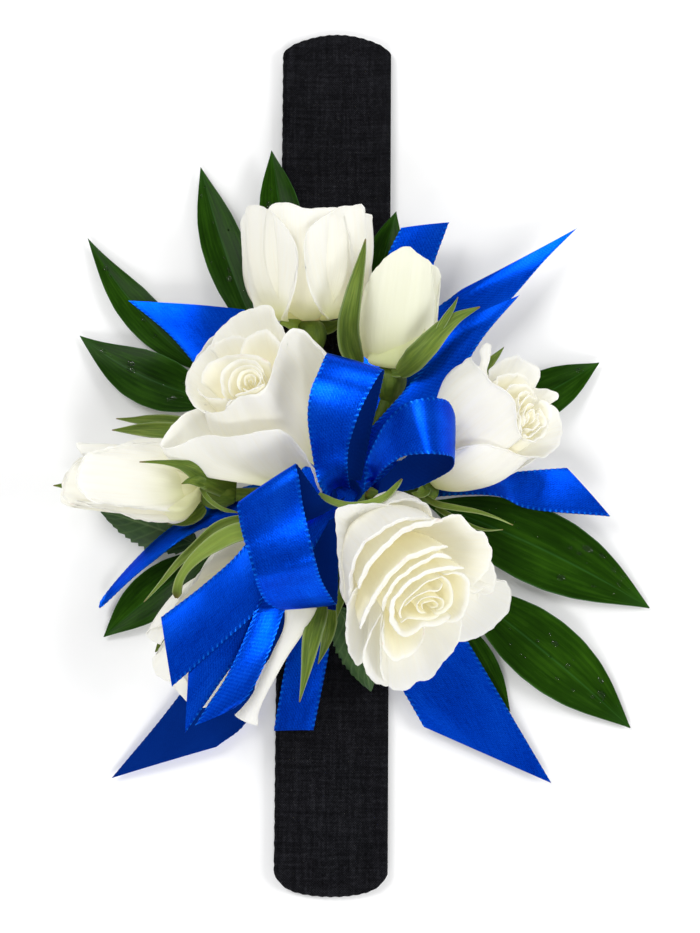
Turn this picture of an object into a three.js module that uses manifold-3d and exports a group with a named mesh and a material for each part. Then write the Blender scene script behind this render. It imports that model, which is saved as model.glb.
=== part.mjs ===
// Wrist corsage on a slap bracelet, millimetres, +Z up.
// X is across the band, Y along it, Z away from the wrist. The origin is the
// middle of the band's wrist face.
import * as THREE from 'three';
import { mergeVertices } from 'three/addons/utils/BufferGeometryUtils.js';
import Module from 'manifold-3d';

const wasm = await Module();
wasm.setup();

// ---- driving dimensions -------------------------------------------------
const BAND_LENGTH = 228.6;        // 9 in
const BAND_HALF_WIDTH = 14.3;     // 1 1/8 in wide
const BAND_THICK = 2.0;           // sleeve, strip and sleeve
const SLEEVE_WALL = 0.5;
const END_SAG = 4.0;              // rounding of the band's ends
const FLAT_HALF = 8.0;            // flat middle of the wrist face
const EDGE_RISE = 1.4;            // the edges stand up, as on any slap band
const STRIP_THICK = 0.4;
const CENTRE_HALF = 20.0;         // stiffened by the arrangement
const ARM_SEGMENTS = 5;
const HINGE_GAP = 0.3;
const SEGMENT = (BAND_LENGTH / 2 - CENTRE_HALF - ARM_SEGMENTS * HINGE_GAP) / ARM_SEGMENTS;
const GAP = 0.35;                 // clearance kept between neighbours
const RIBBON_THICK = 0.5;
const LEAF_THICK = 0.7;
const HUB = new THREE.Vector3(2, -11, 0);
const HUB_RADIUS = 7.5;
const HUB_BOTTOM = 9.6;
const HUB_TOP = 26.5;
const PAD_TOP = 4.1;

// ribbon edges: each station is left x y z, right x y z along the travel
const RIBBONS = {
  wide_cross: [[-24.1, 37.4, 8, -54.2, 39.9, 4.5], [-21.9, 28, 7, -42.8, 29.9, 7], [-8.9, 13.1, 7, -29.2, 13, 7], [7.8, 0.8, 6.4, -9.8, -10.8, 6.4], [14.1, -10.7, 6.3, -4.1, -21.3, 6.3], [29.6, -41.4, 5.8, 10.9, -50.6, 5.8], [35.3, -50.6, 5, 18.1, -62, 5], [56.1, -85.3, 2.6, 23.6, -71.3, 3.6]],
  top_bottom: [[29.5, 59.6, 12.5, 17.2, 58.3, 11.5], [25.4, 47.9, 12.5, 13.5, 49.9, 12.5], [22.1, 36.1, 12.6, 10.7, 38.1, 9.4], [12.8, 5.5, 8.2, 1.2, 8.5, 8.2], [8, -11.7, 7.3, -4, -10.3, 7.3], [4.9, -26.3, 7.7, -6.9, -23.7, 7.7], [-0.6, -50, 11.9, -10.9, -50.7, 6.2], [-1.3, -55.1, 11.4, -12.1, -57.2, 6.6], [-4.7, -72.9, 11.5, -14.7, -72.7, 5.4]],
  right_left: [[63.4, 59.3, 8, 32.7, 41.4, 14], [46.6, 40.5, 10.3, 35.8, 44.4, 13.7], [37.8, 31.4, 10.2, 27.3, 36.6, 12.8], [18.8, 4.4, 9.8, 9.2, 11.6, 9.8], [7.4, -12.1, 8.2, -1.4, -3.9, 8.2], [-7.2, -19.7, 8.4, -10.8, -8.3, 8.4], [-31.2, -20.6, 9.9, -24.4, -10.8, 8.9], [-47.5, -31.1, 11.5, -44, -21.1, 5.7], [-59.2, -41.4, 4.6, -60.5, -40.3, 4]],
  over_roses: [[46.7, 36, 30, 29.2, 28.3, 24.5], [38.3, 26.2, 29.6, 28.3, 26.8, 26.4], [27.1, 9.4, 31.7, 19.7, 14.6, 26.3], [14.2, -8.2, 27.4, 5.8, -1.9, 27.4], [6, -16.4, 27.2, -2, -9.6, 27.2], [-1.8, -26.1, 28, -10.2, -19.9, 28], [-11.9, -45.5, 28.8, -17.8, -45.1, 37.2], [-17.1, -57.5, 32.6, -24.2, -57.1, 40.4], [-23.1, -69.5, 32.5, -32.2, -74, 38.5]],
  right: [[11, -4, 9.05, 11, -16, 9.05], [21.9, -4, 9.3, 22.1, -16, 9.3], [38.7, -6.8, 5.1, 41.8, -14, 14.1], [48.3, -5.3, 6.1, 49.7, -15.7, 11.9], [60.5, -4.2, 6, 71.2, -17.2, 9]],
  lower_left: [[2.8, -31, 5.1, -14.5, -19.5, 5.1], [-3.2, -40.8, 5, -20.8, -29.2, 5], [-20.6, -57.6, 4.2, -34.5, -56.6, 4.2], [-21, -66.2, 3.4, -40.3, -64.1, 3.4], [-22.2, -71.2, 4.2, -56.2, -84.5, 1.6]],
  folded_a: [[-42.4, -46.7, 26.5, -39.3, -63.3, 34], [-32, -38.7, 31.2, -28.7, -54.1, 33.8], [-22.8, -29.9, 29.7, -18, -44.5, 33.6], [-12.7, -13.3, 29.4, -1.3, -24.7, 29.4], [-5.7, -7.3, 28.9, 5.7, -18.7, 28.9]],
  folded_b: [[5.7, -16.4, 29, -5.7, -9.2, 29], [-1.3, -26.4, 29.1, -12.7, -17.6, 29.1], [-13.5, -44.3, 28.3, -25, -44.7, 28.3], [-22.6, -64.4, 30, -33.1, -62.1, 31.5], [-26.8, -72.6, 30, -35.9, -75.6, 31.5]],
  loop_up: [[-0.7, -17.6, 34, 2.5, -15.9, 36], [-4, -11.7, 38, 3.5, -11.4, 42], [-5.9, -2.1, 43, 4.9, -3.5, 48], [-5.3, 7.8, 46, 7.5, 3.9, 51], [-3.6, 13.7, 46.5, 10.4, 9, 51.5], [-1.9, 17.8, 43, 12.4, 12.5, 48], [-1.2, 16.6, 38, 12.2, 11.2, 42], [-0.9, 7.9, 33, 10.6, 6, 36.5], [-0.4, -1.9, 31.4, 9.1, -4, 34.5], [0.6, -11.9, 31, 6, -11.9, 33.5], [0.6, -14.2, 31, 3, -13.4, 32.5]],
  loop_right: [[5.5, -14.4, 35, 6.5, -16.8, 37], [8.2, -10, 37, 9.4, -13.3, 42], [11.1, -2.5, 40, 12.5, -10.7, 47], [16.7, 5, 42, 17.5, -9, 50], [23.8, 6.9, 42.5, 23.8, -8.6, 50.5], [28.6, 6.2, 40, 27.8, -8.6, 48], [30.8, 2.7, 36, 30.2, -8.2, 43.5], [30, -1.5, 32, 28.9, -10.5, 38], [24.8, -4, 30.8, 24.1, -13.3, 35], [18, -6.6, 30.4, 16.2, -15.5, 34], [12, -11.1, 30.6, 11, -16.6, 33], [8.4, -14.3, 31, 8.4, -16.9, 33]],
  loop_left: [[1.3, -20.2, 35, 0, -18.8, 34], [-3.6, -15.8, 41, -8.6, -17, 39], [-8.9, -11, 49, -22.7, -19.5, 43], [-9, -18.9, 52, -22.5, -23.6, 46], [-6, -30.7, 53, -20.9, -30.9, 47], [-3.1, -37.8, 50, -18.5, -39.8, 44], [1.3, -44.3, 45, -15.6, -44.8, 40], [3.2, -40.8, 38, -11.7, -40.8, 34], [3.6, -30.6, 36, -8.4, -29.7, 32.6], [2.8, -22.8, 33, -0.7, -21.6, 31.6]],
};

// leaves: blade base, tip, sideways bow and half width
const LEAVES = {
  ruscus_leaf_top_left: [[-19.1, 28.2, 5], [-36.1, 77.2, 1.2], 1.3, 5.6],
  ruscus_leaf_top: [[-11.3, 40.3, 5.2], [-17.2, 80.9, 5], 0, 5.6],
  ruscus_leaf_left_upper: [[-33.9, 20.8, 5.2], [-65.7, 57.5, 1.2], -4.6, 5.6],
  ruscus_leaf_left_lower: [[-29.3, 12.9, 4.6], [-67.2, 31.1, 1.0], -4.2, 6.8],
  ruscus_leaf_lower_left: [[-30.6, -26.6, 4.4], [-59.1, -48.5, 1.0], 1, 6],
  ruscus_leaf_right: [[35.3, 5.1, 6.2], [69.5, 24.7, 1.4], 1, 6.2],
  ruscus_leaf_lower_right: [[24.4, -13.4, 5.6], [81.9, -40, 1.0], 3, 9.6],
  ruscus_sprig_lower_right: [[33.3, -35.5, 4.2], [76.6, -71, 1.0], 1, 8.7],
  ruscus_leaf_top_right: [[9.7, 36.4, 5.2], [15.9, 64.1, 6.2], 0.5, 4.6],
  rose_leaf_front: [[1.4, -41.7, 12.6], [9.9, -62.8, 9.5], 1.5, 5.2],
  rose_leaf_left: [[-35, -24.9, 4.4], [-60.6, -15.8, 1.2], -1, 6],
};
const SPRIG_SECOND = [[31.6, -42.5, 2.6], [45.8, -67.1, 1.0], -0.5, 3.8];

// roses: bloom base, bloom top, profile
const BUD = [[0, 0], [4.6, 0.01], [8.6, 0.17], [10.2, 0.4], [9.7, 0.62], [6.8, 0.84], [3, 0.97], [0, 1]];
const CUP = [[0, 0], [5.6, 0.01], [11.4, 0.2], [14, 0.48], [15.6, 0.8], [16, 0.94], [12, 1], [0, 0.96]];
const OPEN = [[0, 0], [5.6, 0.01], [11.5, 0.18], [15.5, 0.4], [19, 0.6], [20, 0.72], [16, 0.82], [9, 0.96], [0, 1]];
const ROSES = {
  rose_top: [[-6.4, 31.6, 17], [-7.6, 58.7, 23], CUP, 1.0],
  rose_bud_top: [[14.8, 19, 20], [18.5, 47.8, 31], BUD, 0.98],
  rose_upper_left: [[-7.3, -9.2, 17], [-23.1, 11.8, 44], OPEN, 0.95],
  rose_right: [[25.1, -10, 17], [50.4, 7.2, 32], CUP, 1.08],
  rose_bud_left: [[-33.4, -12.5, 14], [-68.4, -9.8, 15], BUD, 1.08],
  rose_lower_left: [[-12.1, -31.7, 16], [-31.7, -63.7, 18], CUP, 0.92],
  rose_front: [[9.4, -23.4, 15], [24.3, -44.1, 44], OPEN, 1.1],
};
const STEM_RADIUS = 1.8;
const HIP_RADIUS = 4.2;

// ---- materials ----------------------------------------------------------
const finish = (color, roughness, metalness = 0) => new THREE.MeshStandardMaterial({ color, roughness, metalness });
const fabric = () => finish(0x17171a, 0.9);
const steel = () => finish(0xb8bcc0, 0.35, 1);
const felt = () => finish(0x2a3a2a, 0.95);
const tape = () => finish(0x4f7a3a, 0.8);
const satin = () => finish(0x0a45c8, 0.35);
const petal = () => finish(0xf6f3e6, 0.6);
const green = () => finish(0x7f9a4e, 0.6);
const ruscus = () => finish(0x123f1c, 0.3);
const roseLeaf = () => finish(0x2f5228, 0.5);

// ---- solids -------------------------------------------------------------
// a closed geometry as a solid, turned right side out
function solid(geometry) {
  let g = geometry.clone();
  for (const name of Object.keys(g.attributes)) if (name !== 'position') g.deleteAttribute(name);
  g = mergeVertices(g, 1e-4);
  const p = g.attributes.position, index = g.index.array;
  const tri = [];
  let volume = 0;
  const a = new THREE.Vector3(), b = new THREE.Vector3(), c = new THREE.Vector3();
  for (let i = 0; i < index.length; i += 3) {
    const [u, v, w] = [index[i], index[i + 1], index[i + 2]];
    if (u === v || v === w || u === w) continue;
    a.fromBufferAttribute(p, u); b.fromBufferAttribute(p, v); c.fromBufferAttribute(p, w);
    volume += a.dot(b.cross(c));
    tri.push(u, v, w);
  }
  if (volume < 0) for (let i = 0; i < tri.length; i += 3) [tri[i], tri[i + 1]] = [tri[i + 1], tri[i]];
  return new wasm.Manifold(new wasm.Mesh({
    numProp: 3, vertProperties: new Float32Array(p.array), triVerts: new Uint32Array(tri),
  }));
}

// a box of unit size whose every vertex is carried by a rule
function carried(nx, ny, nz, rule) {
  const g = new THREE.BoxGeometry(1, 1, 1, nx, ny, nz);
  const p = g.attributes.position, v = new THREE.Vector3();
  for (let i = 0; i < p.count; i++) {
    v.fromBufferAttribute(p, i);
    const q = rule(Math.round((v.x + 0.5) * nx), v.y + 0.5, v.z * 2, v.x * 2);
    p.setXYZ(i, q.x, q.y, q.z);
  }
  return solid(g);
}

// the band's section: flat in the middle, edges raised
function under(x) {
  const t = Math.max(0, (Math.abs(x) - FLAT_HALF) / (BAND_HALF_WIDTH - FLAT_HALF));
  return EDGE_RISE * Math.pow(t, 1.3);
}
function bandSlab(half, y0, y1, zLow, zHigh, round) {
  const xs = round
    ? [-half, -half * 0.88, -half * 0.74, -FLAT_HALF, -4, 0, 4, FLAT_HALF, half * 0.74, half * 0.88, half]
    : [-half, -half * 0.8, -FLAT_HALF, FLAT_HALF, half * 0.8, half];
  return carried(xs.length - 1, 1, 1, (i, t, s) => {
    const x = xs[i];
    const sag = END_SAG * Math.pow(x / BAND_HALF_WIDTH, 2);
    const lo = round < 0 ? y0 + sag : y0, hi = round > 0 ? y1 - sag : y1;
    return new THREE.Vector3(x, lo + (hi - lo) * t, under(x) + (s < 0 ? zLow : zHigh));
  });
}
function sleeve(y0, y1, round) {
  const wall = SLEEVE_WALL + 0.4;
  const body = bandSlab(BAND_HALF_WIDTH, y0, y1, 0, BAND_THICK, round);
  const hollow = bandSlab(BAND_HALF_WIDTH - wall, round < 0 ? y0 + 1 : y0 - 1, round > 0 ? y1 - 1 : y1 + 1,
    SLEEVE_WALL, BAND_THICK - SLEEVE_WALL, round);
  return body.subtract(hollow);
}
function strip(y0, y1, round) {
  const low = (BAND_THICK - STRIP_THICK) / 2;
  return bandSlab(BAND_HALF_WIDTH - SLEEVE_WALL - 0.4 - 0.35, round < 0 ? y0 + 1.6 : y0, round > 0 ? y1 - 1.6 : y1,
    low, low + STRIP_THICK, round);
}

// a ribbon between its two edge curves
function ribbon(stations, steps, grow) {
  const left = new THREE.CatmullRomCurve3(stations.map((s) => new THREE.Vector3(s[0], s[1], s[2])), false, 'centripetal');
  const right = new THREE.CatmullRomCurve3(stations.map((s) => new THREE.Vector3(s[3], s[4], s[5])), false, 'centripetal');
  const mid = (t) => left.getPoint(t).add(right.getPoint(t)).multiplyScalar(0.5);
  return carried(1, steps, 1, (i, t, s) => {
    const l = left.getPoint(t), r = right.getPoint(t), across = r.clone().sub(l).normalize();
    const along = mid(Math.min(1, t + 0.01)).sub(mid(Math.max(0, t - 0.01))).normalize();
    const normal = across.clone().cross(along).normalize();
    const p = i === 0 ? l.addScaledVector(across, -grow) : r.addScaledVector(across, grow);
    const end = t < 1e-6 ? -grow : t > 1 - 1e-6 ? grow : 0;
    return p.addScaledVector(along, end).addScaledVector(normal, s * (RIBBON_THICK / 2 + grow));
  });
}

// a leaf blade with its petiole
const BLADE = [[0, 0.12], [0.12, 0.46], [0.3, 0.88], [0.46, 1], [0.62, 0.9], [0.76, 0.66], [0.88, 0.36], [1, 0.06]];
function blade([base, tip, bow, half], grow) {
  const b = new THREE.Vector3(...base), e = new THREE.Vector3(...tip);
  const dir = e.clone().sub(b), right = new THREE.Vector3(dir.y, -dir.x, 0).normalize();
  const normal = right.clone().cross(dir).normalize();
  const n = BLADE.length - 1;
  return carried(2, n, 1, (i, t, s) => {
    const k = Math.round(t * n), u = BLADE[k][0], w = half * BLADE[k][1] + grow;
    const p = b.clone().addScaledVector(dir, u).addScaledVector(right, -bow * Math.sin(Math.PI * u));
    const end = k === 0 ? -grow : k === n ? grow : 0;
    p.addScaledVector(dir.clone().normalize(), end);
    return p.addScaledVector(right, (i - 1) * w)
      .addScaledVector(normal, s * (LEAF_THICK / 2 + grow) + (i === 1 ? -0.35 : 0.2));
  });
}
function tube(points, radius, sides, steps) {
  const curve = points.length > 2
    ? new THREE.CatmullRomCurve3(points) : new THREE.LineCurve3(points[0], points[1]);
  const shape = new THREE.Shape();
  for (let i = 0; i < sides; i++) {
    const a = (2 * Math.PI * i) / sides;
    if (i === 0) shape.moveTo(radius * Math.cos(a), radius * Math.sin(a));
    else shape.lineTo(radius * Math.cos(a), radius * Math.sin(a));
  }
  return solid(new THREE.ExtrudeGeometry(shape, { steps, bevelEnabled: false, extrudePath: curve }));
}
function leaf(data, grow, reach = 11) {
  const b = new THREE.Vector3(...data[0]);
  const inward = b.clone().lerp(new THREE.Vector3(...data[1]), 0.08);
  const away = new THREE.Vector3(b.x - HUB.x, b.y - HUB.y, 0).normalize();
  const root = HUB.clone().addScaledVector(away, reach);
  root.z = data[0][2] > 10 ? data[0][2] : 5.0;
  return blade(data, grow).add(tube([inward, b.clone().lerp(root, 0.25), root], 0.6 + grow, 6, 3));
}

// a turned solid along an axis from base to top
function turned(profile, base, top, sides, scale, grow) {
  const b = new THREE.Vector3(...base), axis = new THREE.Vector3(...top).sub(b), height = axis.length();
  axis.normalize();
  const pts = profile.map(([r, t], i) => {
    const first = i === 0, last = i === profile.length - 1;
    return new THREE.Vector2(first || last ? 0 : r * scale + grow, t * height + (i < 2 ? -grow : i > profile.length - 3 ? grow : 0));
  });
  const g = new THREE.LatheGeometry(pts, sides);
  g.applyQuaternion(new THREE.Quaternion().setFromUnitVectors(new THREE.Vector3(0, 1, 0), axis));
  g.translate(b.x, b.y, b.z);
  return solid(g);
}
// green hip under the bloom and the stem that runs to the bundle
function calyx(rose, grow) {
  const b = new THREE.Vector3(...rose[0]), axis = new THREE.Vector3(...rose[1]).sub(b).normalize();
  const neck = b.clone().addScaledVector(axis, -0.4), foot = b.clone().addScaledVector(axis, -8.5);
  const hip = turned([[0, 0], [1.6, 0], [HIP_RADIUS * 0.8, 0.3], [HIP_RADIUS, 0.65], [HIP_RADIUS * 0.8, 1], [0, 1]],
    foot.toArray(), neck.toArray(), 10, 1, grow);
  const start = b.clone().addScaledVector(axis, -5);
  const away = new THREE.Vector3(start.x - HUB.x, start.y - HUB.y, 0);
  if (away.length() < HUB_RADIUS + 2.5) return hip;
  away.normalize();
  const end = HUB.clone().addScaledVector(away, HUB_RADIUS - 2);
  end.z = Math.min(start.z, HUB_TOP - 6);
  return hip.add(tube([start, b.clone().addScaledVector(axis, -10).lerp(end, 0.3), end], STEM_RADIUS + grow, 8, 3));
}

// ---- assembly -----------------------------------------------------------
const group = new THREE.Group();
group.name = 'wrist_corsage';
function show(name, body, material) {
  const m = body.getMesh();
  const g = new THREE.BufferGeometry();
  g.setAttribute('position', new THREE.BufferAttribute(new Float32Array(m.vertProperties), 3));
  g.setIndex(new THREE.BufferAttribute(new Uint32Array(m.triVerts), 1));
  g.computeVertexNormals();
  const mesh = new THREE.Mesh(g, material);
  mesh.name = name;
  group.add(mesh);
}
const apart = (p, q) => [0, 1, 2].some((k) => p.max[k] < q.min[k] || q.max[k] < p.min[k]);
const placed = [];
// each piece gives way to the pieces placed before it
function place(name, make, material) {
  let body = make(0);
  const box = body.boundingBox();
  for (const p of placed) if (!apart(box, p.box)) body = body.subtract(p.fat);
  const parts = body.decompose();
  body = parts.reduce((best, q) => (q.volume() > best.volume() ? q : best));
  const fat = make(GAP);
  placed.push({ fat, box: fat.boundingBox() });
  show(name, body.simplify ? body.simplify(0.02) : body, material);
}

// band
show('sleeve_centre', sleeve(-CENTRE_HALF, CENTRE_HALF, 0), fabric());
show('strip_centre', strip(-CENTRE_HALF, CENTRE_HALF, 0), steel());
for (let k = 0; k < ARM_SEGMENTS; k++) {
  const y0 = CENTRE_HALF + HINGE_GAP + k * (SEGMENT + HINGE_GAP), y1 = y0 + SEGMENT;
  const last = k === ARM_SEGMENTS - 1 ? 1 : 0;
  show(`sleeve_upper_${k + 1}`, sleeve(y0, y1, last), fabric());
  show(`strip_upper_${k + 1}`, strip(y0, y1, last), steel());
  show(`sleeve_lower_${k + 1}`, sleeve(-y1, -y0, -last), fabric());
  show(`strip_lower_${k + 1}`, strip(-y1, -y0, -last), steel());
}

// base pad, stem bundle and bow tie
const padBottom = BAND_THICK + 0.3;
place('base_pad', (g) => carried(1, 1, 1, (i, t, s) => new THREE.Vector3(
  (i === 0 ? -1 : 1) * (FLAT_HALF + g), t < 0.5 ? -19 - g : 17 + g, s < 0 ? padBottom - g : PAD_TOP + g)), felt());
place('stem_bundle', (g) => turned([[0, 0], [HUB_RADIUS, 0], [HUB_RADIUS - 0.5, 0.5], [HUB_RADIUS - 1.5, 1], [0, 1]],
  [HUB.x, HUB.y, HUB_BOTTOM], [HUB.x, HUB.y, HUB_TOP], 14, 1, g), tape());
place('bow_tie', (g) => turned([[0, 0], [2.2, 0], [2.6, 0.5], [2.0, 1], [0, 1]],
  [4.2, -15.6, 29.8], [4.2, -16.2, 35], 10, 1, g), satin());

// upper tails and bow loops
place('ribbon_over_roses', (g) => ribbon(RIBBONS.over_roses, 20, g), satin());
place('ribbon_folded_tails', (g) => ribbon(RIBBONS.folded_a, 12, g).add(ribbon(RIBBONS.folded_b, 12, g)), satin());
place('bow_loop_up', (g) => ribbon(RIBBONS.loop_up, 28, g), satin());
place('bow_loop_right', (g) => ribbon(RIBBONS.loop_right, 28, g), satin());
place('bow_loop_left', (g) => ribbon(RIBBONS.loop_left, 28, g), satin());

// tails that cross under the stems
place('ribbon_wide_cross', (g) => ribbon(RIBBONS.wide_cross, 18, g), satin());
place('ribbon_top_bottom', (g) => ribbon(RIBBONS.top_bottom, 20, g), satin());
place('ribbon_right_left', (g) => ribbon(RIBBONS.right_left, 20, g), satin());
place('ribbon_right', (g) => ribbon(RIBBONS.right, 10, g), satin());
place('ribbon_lower_left', (g) => ribbon(RIBBONS.lower_left, 10, g), satin());

// green parts of the roses, leaves, blooms
for (const [name, r] of Object.entries(ROSES)) place(`calyx_${name}`, (g) => calyx(r, g), green());
for (const [name, l] of Object.entries(LEAVES)) {
  const make = name === 'ruscus_sprig_lower_right'
    ? (g) => leaf(l, g).add(leaf(SPRIG_SECOND, g)) : (g) => leaf(l, g);
  place(name, make, name.startsWith('rose') ? roseLeaf() : ruscus());
}
for (const name of ['rose_front', 'rose_upper_left', 'rose_bud_top', 'rose_top', 'rose_right', 'rose_bud_left', 'rose_lower_left']) {
  const [base, top, profile, scale] = ROSES[name];
  place(`bloom_${name}`, (g) => turned(profile, base, top, 14, scale, g), petal());
}

export default group;
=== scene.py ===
"""Wrist corsage: the looks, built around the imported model. Working units here are millimetres, turned into metres when a mesh is made."""

import math

import bpy
import numpy as np
from mathutils import Matrix, Vector


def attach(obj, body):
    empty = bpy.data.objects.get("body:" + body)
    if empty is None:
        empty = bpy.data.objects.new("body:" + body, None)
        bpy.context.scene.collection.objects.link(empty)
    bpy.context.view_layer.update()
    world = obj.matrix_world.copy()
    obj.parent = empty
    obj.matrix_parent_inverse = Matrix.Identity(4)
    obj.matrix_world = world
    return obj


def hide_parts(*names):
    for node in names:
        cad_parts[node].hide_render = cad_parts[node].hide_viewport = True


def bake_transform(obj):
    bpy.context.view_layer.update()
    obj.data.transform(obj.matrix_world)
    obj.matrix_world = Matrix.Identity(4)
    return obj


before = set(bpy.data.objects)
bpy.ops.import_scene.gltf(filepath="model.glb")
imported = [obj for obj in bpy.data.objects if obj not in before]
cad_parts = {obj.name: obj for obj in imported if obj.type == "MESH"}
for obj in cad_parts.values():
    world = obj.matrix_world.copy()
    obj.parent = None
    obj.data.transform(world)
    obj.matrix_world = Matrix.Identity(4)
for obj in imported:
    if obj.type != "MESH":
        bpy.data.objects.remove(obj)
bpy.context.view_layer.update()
ROOT = "arrangement"
PICOT = 1.5
MM = 0.001
scene = bpy.context.scene

# --------------------------------------------------------------------------
# camera
# --------------------------------------------------------------------------
CAM_DIST, CAM_F, CAM_EL, CAM_ROLL = 698.0, 2667.0, math.radians(80.0), math.radians(0.39)
CAM_T = np.array([4.19, -3.11, 0.0])
CAM_B = np.array([0.0, -math.cos(CAM_EL), math.sin(CAM_EL)])
CAM_R = np.array([1.0, 0.0, 0.0])
CAM_U = np.array([0.0, math.sin(CAM_EL), math.cos(CAM_EL)])


def at(px, py, z):
    """The point at height z that the picture shows at px, py."""
    X, Y = px - 350.0, 466.5 - py
    c, s = math.cos(CAM_ROLL), math.sin(CAM_ROLL)
    x, y = X * c - Y * s, X * s + Y * c
    d = -CAM_B + (x / CAM_F) * CAM_R + (y / CAM_F) * CAM_U
    C = CAM_T + CAM_DIST * CAM_B
    return C + (z - C[2]) / d[2] * d


def on_plane(px, py, point, normal):
    """Where the picture's ray at px, py meets a plane."""
    a, b = at(px, py, 0.0), at(px, py, 60.0)
    d = b - a
    k = np.dot(np.asarray(point) - a, normal) / np.dot(d, normal)
    return a + k * d


def pix(P):
    """Where the picture shows the points P."""
    v = np.asarray(P, float) - (CAM_T + CAM_DIST * CAM_B)
    d = -(v @ CAM_B)
    x, y = v @ CAM_R / d * CAM_F, v @ CAM_U / d * CAM_F
    c, s = math.cos(CAM_ROLL), math.sin(CAM_ROLL)
    return np.stack([350.0 + x * c + y * s, 466.5 + x * s - y * c], axis=-1)


def lay_on(grids, px, py, lift):
    """The front-most surface point of the grids at a picture point, lifted toward the camera; None where there is none."""
    best = None
    q = np.array([px, py])
    for G in grids:
        n, m = G.shape[:2]
        F = pix(G)
        for tri in (((0, 0), (1, 0), (0, 1)), ((1, 1), (0, 1), (1, 0))):
            A, B, C = [F[a:n - 1 + a, b:m - 1 + b] for a, b in tri]
            U, V, W = [G[a:n - 1 + a, b:m - 1 + b] for a, b in tri]
            e1, e2, w = B - A, C - A, q - A
            den = e1[..., 0] * e2[..., 1] - e1[..., 1] * e2[..., 0]
            den = np.where(np.abs(den) < 1e-9, 1e-9, den)
            k1 = (w[..., 0] * e2[..., 1] - w[..., 1] * e2[..., 0]) / den
            k2 = (e1[..., 0] * w[..., 1] - e1[..., 1] * w[..., 0]) / den
            ok = (k1 >= -1e-6) & (k2 >= -1e-6) & (k1 + k2 <= 1 + 1e-6)
            if ok.any():
                Q = U + k1[..., None] * (V - U) + k2[..., None] * (W - U)
                Q = Q[ok]
                z = Q @ CAM_B
                i = int(np.argmax(z))
                if best is None or z[i] > best @ CAM_B:
                    best = Q[i]
    return None if best is None else best + CAM_B * lift


def make_camera():
    cam = bpy.data.cameras.new("camera")
    cam.sensor_width = 36.0
    cam.lens = CAM_F * 36.0 / 933.0
    cam.clip_start, cam.clip_end = 0.01, 20.0
    ob = bpy.data.objects.new("camera", cam)
    scene.collection.objects.link(ob)
    c, s = math.cos(CAM_ROLL), math.sin(CAM_ROLL)
    r = CAM_R * c + CAM_U * s
    u = -CAM_R * s + CAM_U * c
    loc = (CAM_T + CAM_DIST * CAM_B) * MM
    ob.matrix_world = Matrix((
        (r[0], u[0], CAM_B[0], loc[0]), (r[1], u[1], CAM_B[1], loc[1]),
        (r[2], u[2], CAM_B[2], loc[2]), (0, 0, 0, 1)))
    scene.camera = ob


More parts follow.
